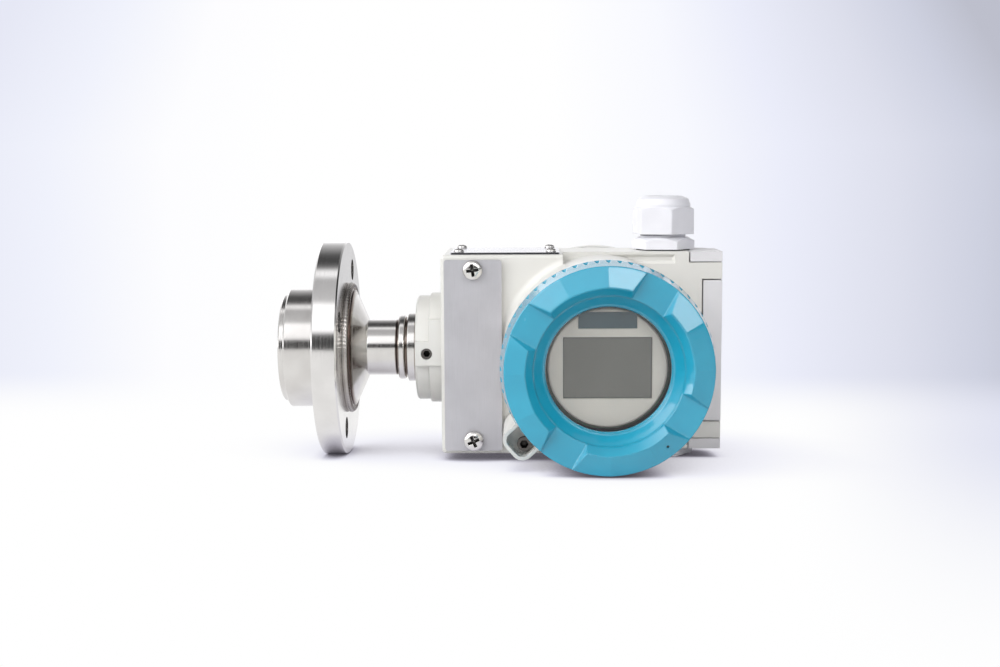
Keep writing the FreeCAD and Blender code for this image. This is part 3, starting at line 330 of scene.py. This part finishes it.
print("window of level", window_level, "and a world of", len(tree.nodes), "nodes")

# %% [markdown]
# ## Turned stainless steel
# Flange, spigot and neck come off a lathe, so fine rings run around the axis: on a rim they lie along
# the process axis, on a flat face they are circles. Both are covered by one number, the distance along
# the axis plus the distance from it, fed to one-dimensional noise. Tool marks are usually finer than
# the half millimetre used here, which is as coarse as they need to be to show. Welding leaves straw and
# brown heat tint beside each seam, placed by the distance along the axis. Noise mostly lies between 0.3
# and 0.7, so ramps and ranges that follow it use that span.

# %% Closing a material and putting it on
def finish(tree, **sockets):
    """Closes a material's graph with a Principled shader; an underscore in a name stands for a space."""
    inputs = {name.replace("_", " "): value for name, value in sockets.items()}
    add(tree, "OutputMaterial", {"Surface": add(tree, "BsdfPrincipled", inputs)})


def dress(material, *names):
    """Puts a material on CAD nodes."""
    for name in names:
        for slot in nodes[name].material_slots:
            slot.material = material
    print(material.name, "on", ", ".join(names))


# %% Turned steel
NOISE_LOW, NOISE_HIGH = 0.3, 0.7
noise_span = {"From Min": NOISE_LOW, "From Max": NOISE_HIGH}
heat_stops = [(0.0, "8C8480"), (0.35, "5C4640"), (0.6, "A89C92"), (0.95, "FFFFFF")]


def lathe_steel(name, tones, roughness, seams=(), recess_shade_mm=0.0):
    """Polished metal with lathe rings; seams are (x in mm, half width in mm) with heat tint.
    A recess size in mm paints shade into the hollows that are about as deep."""
    made, tree, place = new_material(name)
    along = add(tree, "SeparateXYZ", {0: place}).outputs["X"]
    across = add(tree, "VectorMath", {0: place, 1: (0, 1, 1)}, operation="MULTIPLY")
    radius = add(tree, "VectorMath", {0: across}, operation="LENGTH").outputs["Value"]
    ring = add(tree, "Math", {0: along, 1: radius}, operation="ADD")
    fine = add(tree, "TexNoise", {"W": ring, "Scale": per_mm(0.5), "Detail": 3.0}, noise_dimensions="1D")
    cloud = add(tree, "TexNoise", {"Vector": place, "Scale": per_mm(14), "Detail": 3.0})
    colour = add(tree, "ValToRGB", {"Fac": cloud}, stops=[*zip((NOISE_LOW, NOISE_HIGH), tones)])
    for x_seam, half_width in seams:
        offset = add(tree, "Math", {0: along, 1: x_seam * MM}, operation="SUBTRACT")
        away = add(tree, "Math", {0: offset}, operation="ABSOLUTE")
        wander = add(tree, "Math", {0: cloud, 1: half_width * MM, 2: away}, operation="MULTIPLY_ADD")
        share = add(tree, "MapRange", {"Value": wander, "From Max": 2 * half_width * MM})
        heat = add(tree, "ValToRGB", {"Fac": share}, stops=heat_stops)
        tinted = add(tree, "Mix", {0: 1.0, 6: colour, 7: heat}, data_type="RGBA", blend_type="MULTIPLY")
        colour = tinted.outputs[2]
    # Painted shade: hollows about as deep as the recess size are darkened by how little open sky they see
    if recess_shade_mm:
        open_sky = add(tree, "AmbientOcclusion", {"Distance": recess_shade_mm * MM}, samples=8, only_local=True)
        painted_recess_shade = add(tree, "MapRange", {
            "Value": open_sky.outputs["AO"], "From Min": 0.5, "From Max": 0.9, "To Min": 0.04,
        })
        colour = add(tree, "VectorMath", {0: colour, "Scale": painted_recess_shade}, operation="SCALE")
    rough = add(tree, "MapRange", {
        **noise_span, "Value": fine, "To Min": roughness[0], "To Max": roughness[1],
    })
    dent = add(tree, "Bump", {"Strength": 0.25, "Distance": 0.012 * MM, "Height": fine})
    finish(tree, Base_Color=colour, Metallic=1.0, Roughness=rough, Normal=dent)
    return made


# %% Flange, neck and foil
# Flange: nearly a mirror, which the rings draw out into bands
dress(lathe_steel("turned_stainless_steel", ("DCDAD8", "E8E6E4"), (0.10, 0.20)), "process_flange")
# Seal body and neck: the same steel, a little duller, with heat tint at its seams
neck_seams = [(12.7, 0.7), (31.0, 0.7), (35.0, 0.5), (39.0, 0.5)]
dress(lathe_steel("welded_stainless_steel", ("D2CFCC", "E0DEDB"), (0.12, 0.24), neck_seams), "seal_body")
# Diaphragm and inner parts: greyer and softer in their reflections
foil_steel = lathe_steel("stainless_foil", ("BDBBB9", "CFCDCB"), (0.16, 0.28))
dress(foil_steel, "process_diaphragm", "pressure_cell", "neck_retaining_ring")

# %% [markdown]
# ## Powder-coated casting
# The housing is die-cast aluminium with a warm light-grey powder coat. Powder melts into a skin with a
# soft orange peel about a millimetre across and a finer grit, which breaks up every highlight; the grit
# is drawn a little coarse, so that it shows. The necks that the covers screw on carry a real thread; it
# is a fine form, so it is drawn as ridges in the bump, where the casting is narrower than its barrel.

# %% Powder coat
coated, tree, place = new_material("powder_coated_aluminium")
peel = add(tree, "TexNoise", {"Vector": place, "Scale": per_mm(1.3), "Detail": 2.0})
grit = add(tree, "TexNoise", {"Vector": place, "Scale": per_mm(0.35), "Detail": 1.0})
cloud = add(tree, "TexNoise", {"Vector": place, "Scale": per_mm(30), "Detail": 3.0})
base = add(tree, "ValToRGB", {"Fac": cloud}, stops=[(NOISE_LOW, "DAD9D4"), (NOISE_HIGH, "E2E1DC")])
rough = add(tree, "MapRange", {**noise_span, "Value": grit, "To Min": 0.28, "To Max": 0.38})
soft = add(tree, "Bevel", {"Radius": 0.5 * MM}, samples=4)
skin = add(tree, "Math", {0: grit, 1: 0.3, 2: peel}, operation="MULTIPLY_ADD")
dent = add(tree, "Bump", {"Strength": 0.3, "Distance": 0.05 * MM, "Height": skin, "Normal": soft})
print(coated.name, "skin of", len(tree.nodes), "nodes")

# %% Threads of the cover necks
barrel_x, barrel_front, barrel_rear = 115.6 * MM, -64.0 * MM, 44.0 * MM
thread_inner, thread_outer = 35.6 * MM, 36.2 * MM
# A ridge rises over 2 mm and falls over 2 mm, so ridges lie 4 mm apart, twice the covers' pitch
ridge_rise = 2.0 * MM
length = add(tree, "SeparateXYZ", {0: place}).outputs["Y"]
centred = add(tree, "VectorMath", {0: place, 1: (barrel_x, 0, 0)}, operation="SUBTRACT")
across = add(tree, "VectorMath", {0: centred, 1: (1, 0, 1)}, operation="MULTIPLY")
radius = add(tree, "VectorMath", {0: across}, operation="LENGTH").outputs["Value"]
below_crest = add(tree, "Math", {0: radius, 1: thread_outer}, operation="LESS_THAN")
above_root = add(tree, "Math", {0: radius, 1: thread_inner}, operation="GREATER_THAN")
wall = add(tree, "Math", {0: below_crest, 1: above_root}, operation="MULTIPLY")
in_front = add(tree, "Math", {0: length, 1: barrel_front}, operation="LESS_THAN")
at_rear = add(tree, "Math", {0: length, 1: barrel_rear}, operation="GREATER_THAN")
past_barrel = add(tree, "Math", {0: in_front, 1: at_rear}, operation="ADD")
on_neck = add(tree, "Math", {0: wall, 1: past_barrel}, operation="MULTIPLY")
wave = add(tree, "Math", {0: length, 1: ridge_rise}, operation="PINGPONG")
ridge = add(tree, "Math", {0: wave, 1: on_neck}, operation="MULTIPLY")
threads = add(tree, "Bump", {"Strength": 0.8, "Distance": 0.4, "Height": ridge, "Normal": dent})
finish(tree, Base_Color=base, Roughness=rough, Specular_IOR_Level=0.45, Normal=threads)
dress(coated, "housing")

# %% [markdown]
# ## Turquoise enamel
# Both covers are castings under a glossy turquoise stoving enamel. It flows while it bakes, so edges
# are rounded and the face keeps a long, shallow orange peel, and a thin clear layer on top gives crisp
# reflections. The layer needs the same bump as the paint, or it would stay flat. The ring that seats on
# the barrel is guessed to be faced on the lathe after baking, so it is pale as bare metal; it is found
# as the faces that look towards the barrel.

# %% Enamel
enamel, tree, place = new_material("turquoise_stoving_enamel")
peel = add(tree, "TexNoise", {"Vector": place, "Scale": per_mm(2.2), "Detail": 2.0})
cloud = add(tree, "TexNoise", {"Vector": place, "Scale": per_mm(18), "Detail": 3.0})
base = add(tree, "ValToRGB", {"Fac": cloud}, stops=[(NOISE_LOW, "1294B2"), (NOISE_HIGH, "1A9EBC")])
end = add(tree, "Math", {0: add(tree, "SeparateXYZ", {0: place}).outputs["Y"]}, operation="SIGN")
facing = add(tree, "SeparateXYZ", {0: add(tree, "TexCoord").outputs["Normal"]}).outputs["Y"]
outwards = add(tree, "Math", {0: facing, 1: end}, operation="MULTIPLY")
seat = add(tree, "MapRange", {
    "Value": outwards, "From Min": -0.95, "From Max": -0.85, "To Min": 1.0, "To Max": 0.0,
})
painted = add(tree, "Mix", {0: seat, 6: base.outputs[0], 7: hex_colour("E9E9E6")}, data_type="RGBA")
rough = add(tree, "MapRange", {**noise_span, "Value": cloud, "To Min": 0.20, "To Max": 0.28})
soft = add(tree, "Bevel", {"Radius": 0.9 * MM}, samples=8)
dent = add(tree, "Bump", {"Strength": 0.22, "Distance": 0.06 * MM, "Height": peel, "Normal": soft})
finish(tree, Base_Color=painted.outputs[2], Roughness=rough, Normal=dent,
       Coat_Weight=1.0, Coat_Roughness=0.04, Coat_IOR=1.5, Coat_Normal=dent)
dress(enamel, "front_cover", "rear_cover")

# %% [markdown]
# ## Glass
# The pane is toughened low-iron glass: clear, almost without tint and mirror smooth. A Principled shader
# with full transmission carries it. A trace of haze from handling keeps it from looking like a hole.

# %% Glass
pane, tree, place = new_material("toughened_glass")
haze = add(tree, "TexNoise", {"Vector": place, "Scale": per_mm(9), "Detail": 4.0})
rough = add(tree, "MapRange", {
    "Value": haze, "From Min": 0.4, "From Max": 0.8, "To Min": 0.0, "To Max": 0.03,
})
finish(tree, Base_Color=hex_colour("FEFEFC"), Roughness=rough, IOR=1.5, Transmission_Weight=1.0)
dress(pane, "window_glass")

# %% [markdown]
# ## Moulded plastics
# The display housing, the key cover, the gland and the terminal block are moulded. Moulded plastic
# takes the spark-eroded grain of its mould, a fine even grit, and the colour is the same all through.
# One function gives each its two tones, its grit and its gloss; corners are softened as a mould's are.
# A mould's grain is finer than these grits, which are as coarse as they need to be to show. The
# display's panel has a thin dark frame of painted shade around its window, where the inset shades it, drawn
# by the distance outside it.

# %% A moulded plastic
def moulded(name, tones, roughness, grit_mm, corner_mm=0.3, depth_mm=0.02, window=None, metallic=0.0):
    """Moulded plastic from two tones, a roughness range, a grit size and depth, and a corner radius.
    A window, as x, z, half width and half height in mm, gets a thin dark frame of painted shade around it,
    the shade of the inset."""
    made, tree, place = new_material(name)
    grit = add(tree, "TexNoise", {"Vector": place, "Scale": per_mm(grit_mm), "Detail": 2.0})
    cloud = add(tree, "TexNoise", {"Vector": place, "Scale": per_mm(12), "Detail": 2.0})
    base = add(tree, "ValToRGB", {"Fac": cloud}, stops=[*zip((NOISE_LOW, NOISE_HIGH), tones)])
    colour = base.outputs[0]
    # Painted shade: a thin dark frame just outside the window, where the inset shades the panel
    if window:
        x, z, half_x, half_z = (size * MM for size in window)
        centred = add(tree, "VectorMath", {0: place, 1: (x, 0, z)}, operation="SUBTRACT")
        spread = add(tree, "VectorMath", {0: centred}, operation="ABSOLUTE")
        beyond = add(tree, "VectorMath", {0: spread, 1: (half_x, 1.0, half_z)}, operation="SUBTRACT")
        sides = add(tree, "SeparateXYZ", {0: beyond}).outputs
        outside = add(tree, "Math", {0: sides["X"], 1: sides["Z"]}, operation="MAXIMUM")
        painted_inset_shade = add(tree, "MapRange", {"Value": outside, "From Max": 0.15 * MM})
        inset_shaded = add(tree, "Mix", {0: painted_inset_shade, 6: colour, 7: hex_colour("3A3A38")}, data_type="RGBA")
        colour = inset_shaded.outputs[2]
    rough = add(tree, "MapRange", {
        **noise_span, "Value": grit, "To Min": roughness[0], "To Max": roughness[1],
    })
    soft = add(tree, "Bevel", {"Radius": corner_mm * MM}, samples=4)
    dent = add(tree, "Bump", {"Strength": 0.3, "Distance": depth_mm * MM, "Height": grit, "Normal": soft})
    finish(tree, Base_Color=colour, Metallic=metallic, Roughness=rough, Normal=dent)
    return made


# %% Display and outer plastics
# Matt warm-white ABS of the display housing
bezel = moulded("display_abs", ("EBE7E0", "F1EDE6"), (0.45, 0.6), 0.4, corner_mm=0.5)
dress(bezel, "display_bezel")
# Liquid-crystal panel without power: an even grey under a smooth polariser film
panel = moulded("liquid_crystal_panel", ("6A6A66", "72726E"), (0.12, 0.2), 0.25, corner_mm=0.1,
                depth_mm=0.004, window=(115.6, 0.0, 16.3, 11.15))
dress(panel, "display_lcd")
# Polyester film printed dark teal from behind, with a satin face
film = moulded("printed_polyester", ("2A4D5C", "325664"), (0.3, 0.42), 0.3, corner_mm=0.05, depth_mm=0.006)
dress(film, "display_field_plate")
# Light-grey polyamide of the key cover, a little grained
dress(moulded("key_cover_polyamide", ("D8D7D9", "DFDEE0"), (0.36, 0.5), 0.5, corner_mm=0.5), "key_cover")
# Cool white polyamide of the gland, smooth with well rounded edges
gland_white = moulded("gland_polyamide", ("DEDEE3", "E6E6EB"), (0.28, 0.4), 0.6, corner_mm=0.6)
dress(gland_white, "gland_body", "gland_cap_nut", "blanking_plug")

# %% Inner plastics and rubbers
# Black PBT of the terminals, matt
dress(moulded("terminal_pbt", ("2E3032", "35383A"), (0.45, 0.6), 0.3), "terminal_block")
# Dark grey rubber of the keys, soft and dull
keys = moulded("key_rubber", ("43464A", "4B4E52"), (0.5, 0.65), 0.3)
dress(keys, "button_guide", "mode_button", "up_button", "down_button")
# Black resin poured over the electronics, satin with slow waves
dress(moulded("potting_resin", ("1B1C1E", "232426"), (0.3, 0.5), 2.0, depth_mm=0.1), "electronics_module")
# Black rubber of the seals, dull
rubber = moulded("seal_rubber", ("141414", "1C1C1C"), (0.55, 0.7), 0.4)
dress(rubber, "neck_o_ring", "front_cover_seal", "rear_cover_seal", "gland_gasket", "plug_gasket",
      "gland_insert")
# Black anodised aluminium: a dyed oxide skin, so only partly a metal to the eye
anodised = moulded("black_anodised_ring", ("18191B", "202124"), (0.35, 0.5), 0.4, metallic=0.6)
dress(anodised, "glass_retaining_ring")

# %% [markdown]
# ## Circuit board
# The display's board is green solder mask over copper, a glossy lacquer with fine rows in it. An image
# of a board isn't needed for what shows: brick rows stand for its traces, where the mortar is the bare
# laminate, and the mask lies a little higher over the copper.

# %% Circuit board
board, tree, place = new_material("solder_mask")
flat = add(tree, "Mapping", {"Vector": place, "Rotation": (math.radians(90), 0, 0)})
traces = add(tree, "TexBrick", {
    "Vector": flat, "Color1": hex_colour("1F6B3C"), "Color2": hex_colour("2A7A48"),
    "Mortar": hex_colour("14482A"), "Scale": per_mm(2.5), "Mortar Size": 0.03,
})
dent = add(tree, "Bump", {"Strength": 0.4, "Distance": 0.03 * MM, "Height": traces.outputs["Fac"]})
finish(tree, Base_Color=traces, Roughness=0.3, Normal=dent)
dress(board, "display_board")

# %% [markdown]
# ## Plates
# The two plates are thin satin sheet, the front one grey and dull, the top one brighter. Sheet is
# rolled and then brushed one way, so noise is stretched along that way: fine across, long along it.
# Real brush lines are finer than 0.3 mm and are drawn that coarse so that they show. The top plate's
# faces that look to the front are painted dark, a painted shadow that draws a thin line under it.

# %% Plates
def brushed_sheet(name, tones, stretch, roughness, metallic, front_shadow_edge=None):
    """Satin sheet metal; stretch gives the grain's length along x, y and z in mm.
    A front edge colour is painted on the faces that look to the front, as a painted shadow line under the
    plate."""
    made, tree, place = new_material(name)
    grain_space = add(tree, "Mapping", {"Vector": place, "Scale": tuple(per_mm(size) for size in stretch)})
    grain = add(tree, "TexNoise", {"Vector": grain_space, "Scale": 1.0, "Detail": 3.0})
    cloud = add(tree, "TexNoise", {"Vector": place, "Scale": per_mm(16), "Detail": 3.0})
    tone = add(tree, "Math", {0: grain, 1: 0.5, 2: cloud}, operation="MULTIPLY_ADD")
    colour = add(tree, "ValToRGB", {"Fac": tone}, stops=[*zip((0.5, 1.0), tones)]).outputs[0]
    # Painted shadow: faces that look to the front take a dark colour, the shadow line under the plate
    if front_shadow_edge:
        facing = add(tree, "SeparateXYZ", {0: add(tree, "TexCoord").outputs["Normal"]}).outputs["Y"]
        painted_shadow_share = add(tree, "MapRange", {
            "Value": facing, "From Min": -0.9, "From Max": -0.6, "To Min": 1.0, "To Max": 0.0,
        })
        shadow_edged = add(tree, "Mix", {0: painted_shadow_share, 6: colour, 7: hex_colour(front_shadow_edge)}, data_type="RGBA")
        colour = shadow_edged.outputs[2]
    rough = add(tree, "MapRange", {
        **noise_span, "Value": grain, "To Min": roughness[0], "To Max": roughness[1],
    })
    dent = add(tree, "Bump", {"Strength": 0.2, "Distance": 0.01 * MM, "Height": grain})
    finish(tree, Base_Color=colour, Metallic=metallic, Roughness=rough, Normal=dent)
    return made


grain_upright, grain_sideways = (0.3, 0.3, 9.0), (9.0, 0.3, 0.3)
front_sheet = brushed_sheet("satin_aluminium_sheet", ("B4B3B7", "C2C1C5"), grain_upright, (0.42, 0.55), 0.35)
dress(front_sheet, "tag_plate")
# The dark front edge of the top plate is a painted shadow line
top_sheet = brushed_sheet("brushed_stainless_sheet", ("DEDEE2", "EAEAEE"), grain_sideways, (0.22, 0.32), 0.8,
                          front_shadow_edge="4A4A4E")
dress(top_sheet, "nameplate")

# %% [markdown]
# ## Screw metals
# Small screws, clamps and pins are nickel-plated steel, bright with fine rings. The socket screws in
# the collar and the lock lugs are phosphated steel: a dark grey, dull crystal skin that holds oil. Both
# come from the lathe, so they share the turned steel's function, and their recesses get painted shade.

# %% Screw metals
nickel = lathe_steel("nickel_plated_steel", ("D6D4D1", "E4E2DF"), (0.10, 0.22), recess_shade_mm=2.0)
dress(nickel, "terminal_screws", "inner_earth_screw", "outer_earth_clamp", "outer_earth_screw",
      "key_cover_pivots")
phosphated = lathe_steel("phosphated_steel", ("605C59", "716D6A"), (0.38, 0.52), recess_shade_mm=2.0)
dress(phosphated, "swivel_set_screw", "front_cover_lock_screw", "rear_cover_lock_screw")

# %% [markdown]
# ## From arrays to a mesh
# Each new piece is a grid of points from a formula. The grid's cells become quads; where the grid meets
# itself, or a row shrinks to a pole, equal points are merged and the normals are turned outwards, so
# the piece is a closed shell.

# %% Grid to mesh
def shell(name, blocks, material, body):
    """Closed mesh from grids of points in metres, (rows, columns, 3) each, set on a body."""
    points = [block.reshape(-1, 3) for block in blocks]
    starts = np.cumsum([0] + [len(block) for block in points])
    faces = [cells(*block.shape[:2], start) for block, start in zip(blocks, starts)]
    mesh = bpy.data.meshes.new(name)
    mesh.from_pydata(np.concatenate(points).tolist(), [], np.concatenate(faces).tolist())
    work = bmesh.new()
    work.from_mesh(mesh)
    bmesh.ops.remove_doubles(work, verts=work.verts, dist=0.002 * MM)
    bmesh.ops.recalc_face_normals(work, faces=work.faces)
    work.to_mesh(mesh)
    work.free()
    mesh.polygons.foreach_set("use_smooth", np.ones(len(mesh.polygons), bool))
    mesh.materials.append(material)
    piece = bpy.data.objects.new(name, mesh)
    bpy.context.scene.collection.objects.link(piece)
    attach(piece, body)
    print(name, len(mesh.polygons), "faces")
    return piece


# %% [markdown]
# ## Cross-head screws
# The two screws on the front plate are the brightest spots on the block, with a deep cross recess. A
# screw is a turned profile, so it is a grid of profile by angle. A boolean cut would leave long thin
# faces, so the recess is a depth taken off the head instead: two crossing bars, deepest in the middle,
# with sloping walls.

# %% A cross-head screw
def cross_screw(centre, outward, head, turn_degrees):
    """Grid of a screw: radius and height from the profile, height less the cross's depth.
    Depth = full depth x clip((half bar - distance to the nearer bar's line) / wall) x taper."""
    head_r, head_h, shank_r, shank_l = np.array(head) * MM
    crown_points, round_points = 64, 129
    t = np.linspace(0, 1, crown_points)
    crown_r = head_r * np.sin(t * math.pi / 2) ** 0.9
    crown_h = head_h * (0.42 + 0.58 * np.sqrt(np.clip(1 - (crown_r / head_r) ** 2.2, 0, 1)))
    radius = np.concatenate([crown_r, [head_r, shank_r, shank_r, 0]])
    height = np.concatenate([crown_h, [0, 0, -shank_l, -shank_l]])
    r, a = np.meshgrid(radius, np.linspace(0, 2 * math.pi, round_points), indexing="ij")
    p, q = r * np.cos(a), r * np.sin(a)
    bar, reach, wall = 0.16 * head_r, 0.62 * head_r, 0.10 * head_r
    one = np.minimum(bar - np.abs(p), reach - np.abs(q))
    two = np.minimum(bar - np.abs(q), reach - np.abs(p))
    cut = np.clip(np.maximum(one, two) / wall, 0, 1) * (1 - 0.5 * r / head_r) * 0.6 * head_h
    on_crown = np.arange(len(radius))[:, None] < crown_points
    h = height[:, None] - np.where(on_crown, cut, 0)
    outward = np.array(outward, float)
    side = np.cross(outward, [1.0, 0.0, 0.0])
    other = np.cross(outward, side)
    s, c = math.sin(math.radians(turn_degrees)), math.cos(math.radians(turn_degrees))
    p, q = c * p - s * q, s * p + c * q
    return np.array(centre) * MM + p[..., None] * side + q[..., None] * other + h[..., None] * outward


# %% Screws of the front plate
def box_mm(name):
    """Lowest and highest corner of a CAD node's box, in mm."""
    return [np.array(corner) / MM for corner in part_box(name)]


low, high = box_mm("tag_plate_screws")
tag_head = (4.0, 2.8, 2.0, 8.0)  # radius and height of the head, radius and length of the shank, in mm
head_r, head_h = tag_head[:2]
tag_x, tag_y = (low[0] + high[0]) / 2, low[1] + head_h
tag_screws = shell("cross_head_screws_front", [
    cross_screw((tag_x, tag_y, high[2] - head_r), (0, -1, 0), tag_head, turn_degrees=8),
    cross_screw((tag_x, tag_y, low[2] + head_r), (0, -1, 0), tag_head, turn_degrees=24),
], nickel, "housing")
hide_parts("tag_plate_screws")

# %% Screws of the top plate
low, high = box_mm("nameplate_screws")
top_head = (2.1, 1.5, 1.0, 5.0)
head_r, head_h = top_head[:2]
columns, rows = ((low[axis] + head_r, high[axis] - head_r) for axis in (0, 1))
corners = [(x, y, high[2] - head_h) for x in columns for y in rows]
top_screws = shell("cross_head_screws_top", [
    cross_screw(corner, (0, 0, 1), top_head, turn_degrees=17 * k) for k, corner in enumerate(corners)
], nickel, "housing")
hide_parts("nameplate_screws")

# %% [markdown]
# ## Weld behind the flange
# A hand-laid TIG weld joins the seal body to the flange. It is a ring of overlapping ripples: a small
# circle carried round the axis, its radius swelling and shrinking as each puddle froze, every swell
# leaning the way the torch moved. Two slow waves stand for the unsteady hand. The ripples catch the
# light one by one, which a bump on a plain ring would not give in outline.

# %% Weld bead
# Weld metal: greyer and rougher than turned steel
weld_steel = lathe_steel("weld_metal", ("A5A09B", "C9C5C1"), (0.18, 0.34), seams=[(12.6, 0.5)])
# Sizes in mm
ring_r, ring_x, bead_r, ripples = 26.0, 11.1, 1.45, 96
ripple_h, sway_h, shake_h = 0.10, 0.05, 0.03
ripple_points, section_points = 12, 33
around, section = np.meshgrid(
    np.linspace(0, 2 * math.pi, ripple_points * ripples + 1),
    np.linspace(0, 2 * math.pi, section_points), indexing="ij")
# Puddle radius = bead + ripple x |sin(half the leaning angle)| + two slow waves around the axis
leaning = ripples * around + 1.2 * np.cos(section)
puddle = (bead_r + ripple_h * np.abs(np.sin(leaning / 2))
          + sway_h * np.sin(7 * around) + shake_h * np.sin(17 * around + 1))
reach = ring_r + puddle * np.sin(section)
weld = [ring_x + puddle * np.cos(section), reach * np.sin(around), reach * np.cos(around)]
weld_bead = shell("weld_bead", [np.stack(weld, axis=-1) * MM], weld_steel, "process_connection")

# %% [markdown]
# ## Gland thread
# Between the gland's hexagon and its cap nut a band of thread shows, drawn dark grey, and more of it when the
# nut
# is unscrewed. It is a helix: the height rises by one pitch a turn, and the section is a rounded ridge
# that fades at both ends. The ridge's outer side and its inner wall are joined into one strip around
# the section, and two caps close its ends.

# %% Gland thread
# Drawn dark grey, darker than the gland body, so that the band under the nut shows dark
dark_thread = moulded("thread_polyamide", ("6C6C72", "76767C"), (0.4, 0.5), 0.6, corner_mm=0.1)
# Sizes in mm; the ridge's width is a share of the pitch
entry_x, thread_low, thread_high, core_r, pitch = 142.7, 46.6, 55.6, 9.4, 1.5
inner_r, root_r, ridge_h = core_r - 0.3, core_r - 0.12, 0.36
ridge_share, fade_turns = 0.8, 0.25
turn_points, ridge_points = 601, 9
turns = np.linspace(0, (thread_high - thread_low) / pitch, turn_points)
turned, across = np.meshgrid(turns, np.linspace(-0.5, 0.5, ridge_points), indexing="ij")
# Radius = root + ridge x cos(pi x across) to the power 1.5 x fade; height = low + pitch x turns
fade = np.clip(np.minimum(turned, turns[-1] - turned) / fade_turns, 0, 1)
outer_r = root_r + ridge_h * np.cos(across * math.pi) ** 1.5 * fade
height = thread_low + pitch * (turned + ridge_share * across)
cos, sin = np.cos(2 * math.pi * turned), np.sin(2 * math.pi * turned)
outer = np.stack([entry_x + outer_r * cos, outer_r * sin, height], axis=-1)
inner = np.stack([entry_x + inner_r * cos, inner_r * sin, height], axis=-1)
ridge = np.concatenate([outer, inner[:, ::-1], outer[:, :1]], axis=1) * MM
caps = [np.stack([outer[end], inner[end]]) * MM for end in (0, -1)]
gland_thread = shell("gland_thread", [ridge] + caps, dark_thread, "housing")
